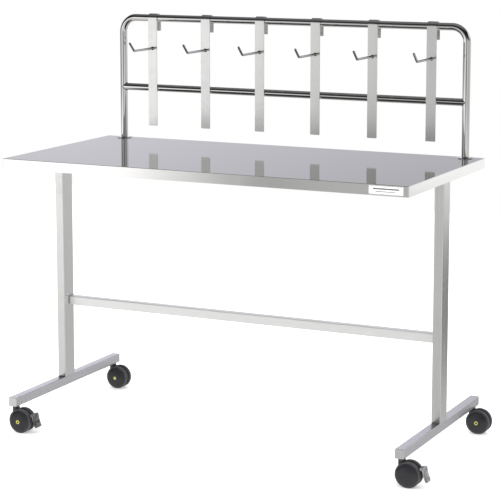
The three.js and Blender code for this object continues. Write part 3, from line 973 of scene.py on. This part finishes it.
@dataclass
class Stand:
    """Legs, feet, crossbar and the welds between them."""

    finishes: Finishes
    corner: float = 2.6 * MM
    wall: float = 1.5 * MM
    recess: float = 4 * MM
    cap_corner: float = 0.8 * MM
    bead: float = 2.0 * MM
    bead_pitch: float = 1.5 * MM

    def build(self) -> None:
        """Makes the bars, the caps and the beads."""
        for side in ("left", "right"):
            self._bar(f"leg_{side}", Axis.Z, self.finishes.satin_z)
            self._bar(f"foot_{side}", Axis.Y, self.finishes.satin_y)
            for end in ("front", "rear"):
                self._cap(f"foot_cap_{side}_{end}")
        self._bar("crossbar", Axis.X, self.finishes.satin_x)
        self._beads()

    def _bar(self, node: str, axis: Axis, finish: bpy.types.Material) -> None:
        """Makes a tube with rounded corners and open ends.

        Args:
            node: The CAD node it stands for.
            axis: The direction it runs.
            finish: Its material.
        """
        low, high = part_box(node)
        bar = Workpiece.block(f"{node}_tube", low, high)
        bar.pick(Element.EDGE, runs_along(axis)).bevel(self.corner, segments=5)
        bar.pick(Element.FACE, runs_along(axis)).inset(self.wall, -self.recess)
        bar.smooth().fit("frame", "satin_steel", finish, node)

    def _cap(self, node: str) -> None:
        """Makes the plate welded over a foot's end.

        Args:
            node: The CAD node it stands for.
        """
        low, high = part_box(node)
        cap = Workpiece.block(f"{node}_plate", low, high)
        cap.pick(Element.EDGE, runs_along(Axis.Y)).bevel(self.corner, segments=5)
        face = max(abs(low.y), abs(high.y))
        cap.pick(Element.EDGE, lambda p, d: abs(d.y) < 1 - ALIGNED and abs(p.y) > face - NEAR)
        cap.bevel(self.cap_corner, segments=3)
        cap.smooth().fit("frame", "satin_steel", self.finishes.satin_z, node)

    def _bead(self, name: str, start: Vector, end: Vector) -> None:
        """Lays a rippled weld between two points.

        Args:
            name: The bead's name.
            start: Where it starts.
            end: Where it ends.
        """
        clear()
        run = end - start
        count = max(3, round(run.length / self.bead_pitch))
        bpy.ops.mesh.primitive_uv_sphere_add(segments=14, ring_count=8, radius=self.bead, location=start)
        bead = Workpiece(name)
        bead.modify("ARRAY", use_relative_offset=False, use_constant_offset=True,
                    constant_offset_displace=run / (count - 1), count=count)
        bead.smooth(angle=60, weighted=False).fit("frame", "satin_steel", self.finishes.weld)

    def _beads(self) -> None:
        """Lays the welds at the legs' feet and at the crossbar's ends."""
        bar_low, bar_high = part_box("crossbar")
        for side, sign in (("left", -1.0), ("right", 1.0)):
            low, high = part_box(f"leg_{side}")
            inset = self.corner + self.bead
            for end, y in (("front", low.y), ("rear", high.y)):
                start, stop = Vector((low.x + inset, y, low.z)), Vector((high.x - inset, y, low.z))
                self._bead(f"weld_{side}_{end}", start, stop)
            x = bar_low.x if sign < 0 else bar_high.x
            up = Vector((x, bar_low.y, bar_low.z + inset)), Vector((x, bar_low.y, bar_high.z - inset))
            over = Vector((x, bar_low.y + inset, bar_high.z)), Vector((x, bar_high.y - inset, bar_high.z))
            self._bead(f"weld_{side}_bar_front", *up)
            self._bead(f"weld_{side}_bar_top", *over)


@dataclass
class Rail:
    """The bent hoop, its middle rail and the flanges on the sheet."""

    finishes: Finishes
    bend: float = 50 * MM
    wall: float = 1.5 * MM
    recess: float = 8 * MM
    weld: float = 1.1 * MM
    bend_steps: int = 20
    rail_cuts: int = 6
    flange_gap: float = 0.2 * MM
    flange_edge: tuple[Point, ...] = ((-0.3, 0.0), (0.0, 0.3), (0.0, 1.1), (-0.5, 1.6))
    flange_shoulder: Point = (7.0, 2.3)
    flange_neck: tuple[Point, ...] = ((3.0, -0.4), (1.5, 0.0), (0.0, 0.0))
    radius: float = field(init=False)
    middle: float = field(init=False)
    posts: Point = field(init=False)

    def build(self) -> None:
        """Makes the tubes, the welds and the flanges."""
        low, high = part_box("rail_hoop")
        self.radius = (high.y - low.y) / 2
        self.middle = (high.y + low.y) / 2
        self.posts = (low.x + self.radius, high.x - self.radius)
        self._hoop(low.z, high.z - self.radius)
        self._middle_rail()
        for side in ("left", "right"):
            self._flange(side)

    def _hoop(self, foot: float, top: float) -> None:
        """Bends the hoop from one foot to the other.

        Args:
            foot: The height of the posts' lower ends.
            top: The height of the top run's axis.
        """
        left, right = self.posts
        shoulder = top - self.bend
        tube = Workpiece.hoop("bent_hoop", Vector((left, self.middle, foot)), self.radius, Axis.Z)
        tube.pick(Element.VERT).extrude((0, 0, shoulder - foot))
        tube.spin(self.bend_steps, QUARTER, Vector((left + self.bend, self.middle, shoulder)), Axis.Y)
        tube.extrude((right - left - 2 * self.bend, 0, 0))
        tube.spin(self.bend_steps, QUARTER, Vector((right - self.bend, self.middle, shoulder)), Axis.Y)
        tube.extrude((0, 0, foot - shoulder))
        for x in self.posts:
            tube.pick(Element.VERT, lambda p, n: abs(p.x - x) < 2 * self.radius and p.z < foot + NEAR).cap()
        tube.merged(MM / 100).outward()
        tube.pick(Element.FACE, lambda p, n: n.z < -ALIGNED and p.z < foot + NEAR)
        tube.inset(self.wall, -self.recess)
        tube.smooth(angle=40, weighted=False).fit("frame", "polished_tube", self.finishes.tube, "rail_hoop")

    def _middle_rail(self) -> None:
        """Makes the straight rail, and the weld that follows each joint round the post."""
        low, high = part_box("rail_mid")
        level = (low.z + high.z) / 2
        left, right = self.posts
        centre = Vector(((left + right) / 2, self.middle, level))
        rail = Workpiece.drum("middle_rail", centre, self.radius, right - left, Axis.X,
                              sides=40, ends="NOTHING")
        rail.pick(Element.EDGE, runs_along(Axis.X))
        bpy.ops.mesh.subdivide(number_cuts=self.rail_cuts)
        rail.smooth(angle=40, weighted=False).fit("frame", "polished_tube", self.finishes.tube, "rail_mid")
        for side, x, sign in (("left", left, 1.0), ("right", right, -1.0)):
            self._joint_weld(f"weld_rail_{side}", Vector((x, self.middle, level)), sign)

    def _joint_weld(self, name: str, centre: Vector, sign: float) -> None:
        """Lays a thin weld along the line where two equal tubes meet.

        Args:
            name: The weld's name.
            centre: Where the two axes cross.
            sign: Which way along X the rail leaves the post.
        """
        clear()
        bpy.ops.mesh.primitive_torus_add(
            major_radius=self.radius, minor_radius=self.weld, major_segments=48, minor_segments=8,
            location=centre, rotation=Axis.X.laid)
        weld = Workpiece(name)
        for half in (1.0, -1.0):
            weld.pick(Element.VERT, lambda p, n: (p.z - centre.z) * half > self.weld / 2)
            weld.rotate(half * sign * math.pi / 4, centre, Axis.Y)
            weld.resize((math.sqrt(2), 1.0, math.sqrt(2)), centre)
        weld.smooth(angle=60, weighted=False).fit("frame", "polished_tube", self.finishes.weld)

    def _flange(self, side: str) -> None:
        """Makes the thin flange round a post on the sheet.

        Args:
            side: left or right.
        """
        low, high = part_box(f"rosette_{side}")
        rim, rise = (high.x - low.x) / 2, high.z - low.z
        bore = self.radius + self.flange_gap
        profile = [(bore, 0.0), *outline(self.flange_edge, rim), *outline([self.flange_shoulder], bore),
                   *outline(self.flange_neck, bore, rise), (bore, 0.0)]
        centre = Vector(((low.x + high.x) / 2, (low.y + high.y) / 2, low.z))
        flange = Workpiece.turned(f"post_flange_{side}", profile, centre, Axis.Z)
        flange.smooth(angle=40, weighted=False)
        flange.fit("frame", "polished_tube", self.finishes.tube, f"rosette_{side}")


@dataclass
class Hooks:
    """The straps that hang on the rail, each with a cranked rod."""

    finishes: Finishes
    count: int = 6
    thickness: float = 3 * MM
    lip: float = 45 * MM
    corner: float = 2.5 * MM
    edge: float = 0.5 * MM
    rod: float = 4.0 * MM
    drop: float = 104 * MM
    reach: float = 130 * MM
    bend: float = 9 * MM
    tip: float = 42 * MM
    tip_round: float = 0.6
    saddle_steps: int = 24
    crank_steps: int = 8
    crank: float = math.radians(43)
    weld_outline: tuple[Point, ...] = (
        (0.0, 0.2), (6.3, 0.2), (5.6, -0.9), (4.6, -1.9), (3.9, -3.2), (0.0, -3.2))

    def build(self) -> None:
        """Makes one hook and copies it along the rail."""
        low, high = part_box("hook_strap_1")
        strap, rod, weld = self._strap(low, high), self._rod(low, high), self._weld(low, high)
        for number in range(1, self.count + 1):
            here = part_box(f"hook_strap_{number}")[0]
            move = Matrix.Translation((here.x - low.x, 0, 0))
            body = f"hook_{number}"
            strap.copy(f"strap_{number}", move).fit(
                body, "satin_steel", self.finishes.strap, f"hook_strap_{number}")
            rod.copy(f"crank_{number}", move).fit(
                body, "polished_rod", self.finishes.rod, f"hook_rod_{number}")
            weld.copy(f"crank_weld_{number}", move).fit(body, "satin_steel", self.finishes.weld)
        for pattern in (strap, rod, weld):
            pattern.scrap()

    def _strap(self, low: Vector, high: Vector) -> Workpiece:
        """Bends the strap: a long front limb, the saddle over the rail and a short rear lip.

        Args:
            low: The strap's lowest corner.
            high: Its highest corner.

        Returns:
            The strap.
        """
        outer = (high.y - low.y) / 2
        inner = outer - self.thickness
        axis = Vector(((low.x + high.x) / 2, (low.y + high.y) / 2, high.z - outer))
        limb = Vector((axis.x, axis.y - inner, (low.z + axis.z) / 2))
        strap = Workpiece.patch("strap", limb, Vector((high.x - low.x, 0, axis.z - low.z)))
        strap.pick(Element.EDGE, is_above(axis.z - NEAR))
        strap.spin(self.saddle_steps, -math.pi, axis, Axis.X).extrude((0, 0, -self.lip))
        lip_end = axis.z - self.lip
        strap.pick(Element.VERT, lambda p, n: p.z < low.z + NEAR or (p.y > axis.y and p.z < lip_end + NEAR))
        strap.bevel(self.corner, segments=4, corners=True)
        strap.outward().rest()
        front = next(f for f in strap.thing.data.polygons if f.center.y < axis.y - inner + NEAR)
        grow = 1.0 if front.normal.y < 0 else -1.0
        strap.modify("SOLIDIFY", thickness=self.thickness, offset=grow)
        return strap.soften(self.edge, segments=2, angle=40).smooth()

    def _rod(self, low: Vector, high: Vector) -> Workpiece:
        """Bends the rod: straight out, then cranked up to a rounded tip.

        Args:
            low: The strap's lowest corner.
            high: Its highest corner.

        Returns:
            The rod.
        """
        level = high.z - (high.y - low.y) / 2 - self.drop
        start = Vector(((low.x + high.x) / 2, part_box("hook_rod_1")[1].y, level))
        tangent = self.bend * math.tan(self.crank / 2)
        straight = self.reach - tangent
        rod = Workpiece.hoop("crank", start, self.rod, Axis.Y, sides=20)
        rod.pick(Element.VERT).extrude((0, -straight, 0))
        pivot = start + Vector((0, -straight, self.bend))
        rod.spin(self.crank_steps, -self.crank, pivot, Axis.X)
        upward = Vector((0, -math.cos(self.crank), math.sin(self.crank)))
        rod.extrude(upward * (self.tip - tangent)).cap()
        end = start + Vector((0, -self.reach, 0)) + upward * self.tip
        rod.pick(Element.EDGE, lambda p, d: (p - end).length < self.rod + NEAR
                 and abs(d.dot(upward)) < 1 - ALIGNED)
        rod.bevel(self.rod * self.tip_round, segments=4)
        rod.outward()
        return rod.smooth(angle=50, weighted=False)

    def _weld(self, low: Vector, high: Vector) -> Workpiece:
        """Makes the weld round a rod's root.

        Args:
            low: The strap's lowest corner.
            high: Its highest corner.

        Returns:
            The weld.
        """
        root_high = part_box("hook_rod_1")[1]
        level = high.z - (high.y - low.y) / 2 - self.drop
        centre = Vector(((low.x + high.x) / 2, root_high.y, level))
        weld = Workpiece.turned("crank_weld", outline(self.weld_outline), centre, Axis.Y, steps=28)
        return weld.smooth(angle=50, weighted=False)


@dataclass
class Castors:
    """Four twin-wheel castors, the front two with brake pedals."""

    finishes: Finishes
    radius: float = 40 * MM
    inner: float = 7.5 * MM
    tread: float = 12.5 * MM
    dome: float = 11 * MM
    tread_hub: tuple[Point, ...] = ((5.0, 3.0), (5.0, 0.0), (12.0, 0.0), (13.0, 2.0))
    tread_inside: tuple[Point, ...] = ((-9.0, 2.0), (-7.0, 0.0), (-2.2, 0.0), (-0.6, 0.7), (0.0, 2.2))
    tread_outside: tuple[Point, ...] = (
        (0.0, -2.4), (-0.5, -0.9), (-1.8, 0.0), (-3.4, 0.0), (-3.8, -1.0), (-6.0, -1.0))
    cover_rim: tuple[Point, ...] = (
        (-6.0, -1.2), (-4.2, -0.8), (-4.0, 0.4), (-4.8, 1.4), (-7.2, 3.96), (-8.6, 4.95), (-14.0, 6.82))
    cover_dome: tuple[Point, ...] = (
        (0.42, 0.8), (0.27, 0.92), (0.25, 0.9), (0.235, 0.9), (0.22, 0.96), (0.12, 1.0), (0.0, 1.0))
    ring: tuple[Point, ...] = ((3.0, -1.0), (3.2, 0.0), (4.2, 0.5), (6.0, 0.3), (6.8, -0.6), (6.8, -1.0))
    dot: tuple[Point, ...] = ((5.4, -1.0), (5.4, -0.1), (4.6, 0.4), (2.5, 0.8), (0.0, 0.9))
    housing_edge: float = 0.9 * MM
    stem_edge: float = 0.4 * MM
    pedal_width: float = 36 * MM
    pedal_wall: float = 4.2 * MM
    pedal_path: tuple[Point, ...] = (
        (-18.6, 0.5), (-17.4, -6.0), (-14.8, -17.0), (-12.4, -27.0), (-8.8, -37.0), (-4.6, -45.0))
    pedal_corner: float = 7 * MM
    pedal_edge: float = 1.1 * MM
    rib_radius: float = 1.3 * MM
    rib_length: float = 24 * MM
    rib_places: tuple[float, ...] = (0.25, 0.55, 0.85)
    eye_radius: float = 5 * MM
    hinge_drop: float = 6.2 * MM
    cheek_offset: float = 9.3 * MM
    cheek_wall: float = 4.8 * MM
    cheek_reach: float = 10 * MM
    cheek_drop: float = 4.6 * MM
    cheek_rise: float = 2.4 * MM

    def build(self) -> None:
        """Makes the pieces of one castor and copies them to the four corners."""
        origin = self._origin("fl")
        tread, cover = self._tread(origin), self._cover(origin)
        markers = {Hub.RING: self._marker(self.ring, origin), Hub.DOT: self._marker(self.dot, origin)}
        pedal = self._pedal(origin)
        for corner in CORNERS:
            move = Matrix.Translation(self._origin(corner.tag) - origin)
            self._wheels(corner, move, tread, cover)
            if corner.hub in markers:
                markers[corner.hub].copy(f"hub_{corner.tag}", move).fit(
                    f"wheel_{corner.tag}_a", "castor_wheel", self.finishes.marker)
            self._housing(corner)
            if corner.braked:
                # The front-right pedal gets the lighter copy, painted light, and the front-left the darker
                # copy, painted shade; the plastic is the same.
                finish = self.finishes.pedal if corner.hub is Hub.PLAIN else self.finishes.shaded_pedal
                pedal.copy(f"blade_{corner.tag}", move).fit(
                    f"pedal_{corner.tag}", "pedal_plastic", finish, f"brake_pedal_{corner.tag}")
        for pattern in (tread, cover, pedal, *markers.values()):
            pattern.scrap()

    def _origin(self, tag: str) -> Vector:
        """Gives the point on the axle in the middle of a castor.

        Args:
            tag: The castor's tag.

        Returns:
            The point.
        """
        low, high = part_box(f"castor_axle_{tag}")
        return (low + high) / 2

    def _wheels(self, corner: Corner, move: Matrix, tread: Workpiece, cover: Workpiece) -> None:
        """Puts the two wheels of a castor in place.

        Args:
            corner: The castor.
            move: From the pattern's corner to this one.
            tread: The pattern of the tread.
            cover: The pattern of the cover.
        """
        here = self._origin(corner.tag)
        flip = Matrix.Translation(here) @ Matrix.Rotation(math.pi, 4, "Z") @ Matrix.Translation(-here)
        for side, turn in (("a", Matrix.Identity(4)), ("b", flip)):
            body = f"wheel_{corner.tag}_{side}"
            tread.copy(f"tread_{corner.tag}_{side}", turn @ move).fit(
                body, "castor_wheel", self.finishes.tread, f"castor_{body}")
            cover.copy(f"cover_{corner.tag}_{side}", turn @ move).fit(
                body, "castor_wheel", self.finishes.cover)

    def _tread(self, origin: Vector) -> Workpiece:
        """Turns the tread, with a dished inner face and rounded shoulders.

        Args:
            origin: The middle of the castor.

        Returns:
            The tread.
        """
        outer = self.inner + self.tread
        hub = outline(self.tread_hub, 0.0, self.inner)
        profile = [*hub, *outline(self.tread_inside, self.radius, self.inner),
                   *outline(self.tread_outside, self.radius, outer), hub[0]]
        tread = Workpiece.turned("tread", profile, origin, Axis.Y, side=-1.0, steps=72)
        return tread.smooth(angle=40, weighted=False)

    def _cover(self, origin: Vector) -> Workpiece:
        """Turns the domed cover, with a lip, a bevelled shoulder and a shallow hub.

        Args:
            origin: The middle of the castor.

        Returns:
            The cover.
        """
        outer = self.inner + self.tread
        profile = [*outline(self.cover_rim, self.radius, outer),
                   *((self.radius * r, outer + self.dome * d) for r, d in self.cover_dome)]
        cover = Workpiece.turned("cover", profile, origin, Axis.Y, side=-1.0, steps=72)
        return cover.smooth(angle=40, weighted=False)

    def _marker(self, shape: Sequence[Point], origin: Vector) -> Workpiece:
        """Turns the coloured piece at the axle's end.

        Args:
            shape: Its outline, from the axis and from the cover's face.
            origin: The middle of the castor.

        Returns:
            The piece.
        """
        profile = outline(shape, 0.0, self.inner + self.tread + self.dome)
        marker = Workpiece.turned("marker", profile, origin, Axis.Y, side=-1.0, steps=40)
        return marker.smooth(angle=50, weighted=False)

    def _housing(self, corner: Corner) -> None:
        """Rounds the edges of the housing and of the stem.

        Args:
            corner: The castor.
        """
        housing, stem = f"castor_housing_{corner.tag}", f"castor_stem_{corner.tag}"
        body = Workpiece.traced(f"{housing}_body", housing)
        body.soften(self.housing_edge, segments=2, angle=35).smooth()
        body.fit(f"swivel_{corner.tag}", "castor_plastic", self.finishes.nylon, housing)
        mount = Workpiece.traced(f"{stem}_body", stem)
        mount.soften(self.stem_edge, segments=2, angle=35).smooth()
        mount.fit("frame", "zinc_steel", self.finishes.zinc, stem)

    def _pedal(self, origin: Vector) -> Workpiece:
        """Bends the pedal's blade, with grip ribs, and joins its two cheeks.

        Args:
            origin: The middle of the castor.

        Returns:
            The pedal.
        """
        low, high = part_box("brake_pedal_fl")
        path = outline(self.pedal_path, high.x, high.z)
        half = self.pedal_width / 2
        (x0, z0), (x1, z1) = path[:2]
        rise = Vector(((x0 + x1) / 2, origin.y, (z0 + z1) / 2))
        blade = Workpiece.patch("pedal", rise, Vector((0, self.pedal_width, z0 - z1)))
        for test, x in ((is_above(z0 - NEAR), x0), (is_below(z1 + NEAR), x1)):
            blade.pick(Element.EDGE, test)
            bpy.ops.transform.translate(value=(x - rise.x, 0, 0))
        for (x0, z0), (x1, z1) in zip(path[1:], path[2:]):
            blade.extrude((x1 - x0, 0, z1 - z0))
        blade.pick(Element.VERT, lambda p, n: abs(abs(p.y - origin.y) - half) < NEAR and (
            abs(p.z - path[0][1]) < 2 * NEAR or abs(p.z - path[-1][1]) < 2 * NEAR))
        blade.bevel(self.pedal_corner, segments=5, corners=True)
        blade.modify("SOLIDIFY", thickness=self.pedal_wall, offset=0.0)
        blade.soften(self.pedal_edge, segments=3, angle=50)
        parts = self._ribs(origin.y, path[3], path[-1])
        parts += self._cheeks(origin.y, low.x + self.eye_radius, high.z - self.hinge_drop)
        return blade.outward().with_parts(*parts).smooth()

    def _ribs(self, y: float, start: Point, end: Point) -> list[Workpiece]:
        """Lays the grip ribs across the blade's lower part.

        Args:
            y: The middle of the castor.
            start: Where that part starts, across and up.
            end: Where it ends.

        Returns:
            The ribs.
        """
        ribs = []
        for share in self.rib_places:
            x = start[0] * (1 - share) + end[0] * share + self.pedal_wall / 2
            z = start[1] * (1 - share) + end[1] * share
            ribs.append(Workpiece.drum(
                "rib", Vector((x, y, z)), self.rib_radius, self.rib_length, Axis.Y, sides=16))
        return ribs

    def _cheeks(self, middle: float, x: float, z: float) -> list[Workpiece]:
        """Makes the two cheeks and the eyes that turn on the hinge.

        Args:
            middle: The middle of the castor.
            x: The hinge, across.
            z: The hinge, up.

        Returns:
            The cheeks and the eyes.
        """
        made = []
        half = self.cheek_wall / 2
        for side in (-1.0, 1.0):
            y = middle + side * self.cheek_offset
            cheek_low = Vector((x, y - half, z - self.cheek_drop))
            cheek_high = Vector((x + self.cheek_reach, y + half, z + self.cheek_rise))
            made.append(Workpiece.block("cheek", cheek_low, cheek_high))
            made.append(Workpiece.drum(
                "eye", Vector((x, y, z)), self.eye_radius, self.cheek_wall, Axis.Y, sides=28))
        return made


@dataclass
class Hidden:
    """The CAD nodes that keep their own shape."""

    finishes: Finishes

    def dress(self) -> None:
        """Gives each shown CAD node a finish."""
        for name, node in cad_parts.items():
            if node.hide_render:
                continue
            plated = name.startswith(("post_collar", "castor_axle"))
            finish = self.finishes.zinc if plated else self.finishes.satin_x
            node.data.materials.clear()
            node.data.materials.append(finish)
            LOG.info("%s: dressed", name)


@dataclass
class Studio:
    """Floor, light and camera."""

    floor_size: float = 9.0
    floor_glow: float = 0.3
    camera_place: Triple = (2.622, -5.3961, 1.7222)
    camera_yaw: float = math.radians(25.727)
    camera_pitch: float = math.radians(8.374)
    lens: float = 134.86
    shift: float = -0.14
    lavender: Colour = (2.26, 2.24, 2.42)
    zenith: Colour = (0.11, 0.11, 0.115)
    lights: tuple[tuple[str, Triple, float, float], ...] = (
        ("key", (-2.6, -3.4, 3.6), 3.2, 70.0),
        ("fill", (3.4, -2.2, 3.0), 3.0, 45.0),
        ("over", (0.0, 1.2, 4.2), 4.0, 70.0))
    aim: float = 0.7
    tent_strength: float = 2.0
    back_fade: Point = (0.0, 0.5)
    horizon_fade: Point = (-0.02, 0.03)
    shallow_fade: Point = (-0.125, -0.095)
    overhead_fade: Point = (0.7, 0.96)
    left_sector: tuple[Point, ...] = ((-180, 0), (-90, 0), (-80, 1), (-28, 1), (-25, 0), (180, 0))
    right_sector: tuple[Point, ...] = ((-180, 0), (151, 0), (156, 1), (180, 1))
    round_low: tuple[Point, ...] = (
        (-180, 0.4), (-90, 0.3), (-40, 0.8), (-30, 0.82), (-28.5, 0.62), (-27.4, 0.42), (-25.5, 0.24),
        (-22.9, 0.3), (-19.7, 0.28), (-12, 0.34), (0, 0.4), (40, 0.4), (100, 0.35), (139, 0.27), (150, 0.3),
        (156, 0.62), (180, 0.5))
    round_near: tuple[Point, ...] = (
        (-180, 0.3), (-140, 0.16), (-90, 0.16), (-55, 0.18), (-38, 0.4), (-33, 0.68), (-28, 0.66),
        (-24.8, 0.56), (-23, 0.42), (-21.6, 0.29), (-17, 0.27), (3, 0.32), (6, 0.02), (22, 0.02), (26, 0.42),
        (42, 0.4), (57, 0.24), (100, 0.28), (150, 0.4), (180, 0.3))
    round_high: tuple[Point, ...] = (
        (-180, 0.25), (-165, 0.255), (-161, 0.265), (-155, 0.3), (-149, 0.34), (-130, 0.36), (180, 0.3))
    left_floor: tuple[Point, ...] = ((-1, 0.45), (-0.26, 0.5), (-0.2, 0.68), (-0.125, 1.0), (1, 1.0))
    right_floor: tuple[Point, ...] = (
        (-1, 0.5), (-0.275, 0.52), (-0.262, 0.62), (-0.246, 0.32), (-0.229, 0.06), (-0.196, 0.04),
        (-0.179, 0.2), (-0.161, 0.7), (-0.145, 1.0), (1, 1.0))
    up_front: tuple[Point, ...] = (
        (-1, 1.0), (0, 1.0), (0.07, 0.85), (0.13, 0.5), (0.18, 0.28), (0.26, 0.06), (0.45, 0.02), (1, 0.04))
    up_back: tuple[Point, ...] = (
        (-1, 0.45), (0.12, 0.45), (0.15, 0.4), (0.17, 0.36), (0.2, 0.3), (0.225, 0.4), (0.26, 0.75),
        (0.42, 0.75), (0.55, 0.1), (1, 0.03))

    def build(self) -> None:
        """Sets up the whole studio."""
        self._floor()
        self._world()
        for light in self.lights:
            self._light(*light)
        self._camera()

    def _floor(self) -> None:
        """Lays the pale floor."""
        clear()
        bpy.ops.mesh.primitive_plane_add(size=self.floor_size, location=(0, 0, 0))
        floor = bpy.context.object
        floor.name = "floor"
        made, w, shader = _material("pale floor")
        tone = CLOUDING.place(w, Scale=0.8, Low=0.0, High=1.0).outputs["Value"]
        colour = w.mix(tone, (0.93, 0.93, 0.93), (0.96, 0.96, 0.96))
        made.node_tree.links.new(colour, shader.inputs["Base Color"])
        shader.inputs["Roughness"].default_value = 0.9
        shader.inputs["Specular IOR Level"].default_value = 0.1
        shader.inputs["Emission Color"].default_value = (1.0, 1.0, 1.0, 1.0)
        shader.inputs["Emission Strength"].default_value = self.floor_glow
        floor.data.materials.append(made)
        floor.visible_glossy = False

    def _light(self, name: str, place: Sequence[float], size: float, power: float) -> None:
        """Hangs a soft square light that looks at the object.

        Args:
            name: The light's name.
            place: Where it hangs.
            size: Its side.
            power: Its power in watts.
        """
        lamp = bpy.data.lights.new(name, "AREA")
        lamp.size, lamp.energy = size, power
        holder = bpy.data.objects.new(name, lamp)
        holder.location = place
        holder.rotation_euler = (Vector((0, 0, self.aim)) - Vector(place)).to_track_quat("-Z", "Y").to_euler()
        holder.visible_glossy = False
        bpy.context.collection.objects.link(holder)

    def _world(self) -> None:
        """Makes the surroundings: white to the eye, a banded white tent to the metal."""
        world = bpy.data.worlds.new("tent")
        bpy.context.scene.world = world
        world.use_nodes = True
        w = Wiring(world.node_tree)
        world.node_tree.nodes.clear()
        x, y, z = w.node("SeparateXYZ", {0: w.node("TexCoord").outputs["Generated"]}).outputs
        around = w.math("ARCTAN2", x, w.math("MULTIPLY", y, -1.0))
        turn = w.math("ADD", w.math("DIVIDE", around, 2 * math.pi), 0.5)
        level = w.math("ADD", w.math("MULTIPLY", z, 0.5), 0.5)
        near, low, high = (self._round(w, turn, stops) for stops in (
            self.round_near, self.round_low, self.round_high))
        left, right, front, back = (self._rise(w, level, stops) for stops in (
            self.left_floor, self.right_floor, self.up_front, self.up_back))
        to_left, to_right = (self._round(w, turn, stops) for stops in (self.left_sector, self.right_sector))
        floor = w.product(w.product(low, w.mix(to_left, WHITE, left)), w.mix(to_right, WHITE, right))
        ceiling = w.mix(w.span(y, *self.back_fade), w.product(near, front),
                        w.product(w.product(high, back), self.lavender))
        below = w.mix(w.span(z, *self.shallow_fade), floor, near)
        walls = w.mix(w.span(z, *self.horizon_fade), below, ceiling)
        seen = w.mix(w.span(z, *self.overhead_fade), walls, self.zenith)
        tinted = w.node("Background", {"Color": seen, "Strength": self.tent_strength})
        white = w.node("Background", {"Color": (1.0, 1.0, 1.0, 1.0), "Strength": 1.0})
        glossy = w.node("LightPath").outputs["Is Glossy Ray"]
        shiny = w.node("MixShader", {0: glossy, 1: white.outputs[0], 2: tinted.outputs[0]})
        end = world.node_tree.nodes.new("ShaderNodeOutputWorld")
        world.node_tree.links.new(shiny.outputs[0], end.inputs["Surface"])

    @staticmethod
    def _round(w: Wiring, turn: bpy.types.NodeSocket, stops: Sequence[Point]) -> bpy.types.NodeSocket:
        """Grades the tent round the object, from pairs of degrees and a grey."""
        return w.ramp(turn, [((angle + 180) / 360, grey) for angle, grey in stops])

    @staticmethod
    def _rise(w: Wiring, level: bpy.types.NodeSocket, stops: Sequence[Point]) -> bpy.types.NodeSocket:
        """Grades the tent upwards, from pairs of a direction's rise and a grey."""
        return w.ramp(level, [((rise + 1) / 2, grey) for rise, grey in stops])

    def _camera(self) -> None:
        """Sets up the camera and the picture's tones."""
        lens = bpy.data.cameras.new("camera")
        lens.lens, lens.sensor_width, lens.shift_y = self.lens, 36.0, self.shift
        lens.clip_start, lens.clip_end = 0.1, 100.0
        camera = bpy.data.objects.new("camera", lens)
        camera.location = self.camera_place
        camera.rotation_euler = (QUARTER - self.camera_pitch, 0.0, self.camera_yaw)
        bpy.context.collection.objects.link(camera)
        bpy.context.scene.camera = camera
        bpy.context.scene.view_settings.view_transform = "Standard"


def main() -> None:
    """Builds every sub-assembly in order."""
    logging.basicConfig(level=logging.INFO, format="%(name)s: %(message)s")
    finishes = Finishes()
    TableTop(finishes).build()
    Stand(finishes).build()
    Rail(finishes).build()
    Hooks(finishes).build()
    Castors(finishes).build()
    Hidden(finishes).dress()
    Studio().build()


if __name__ == "__main__":
    main()
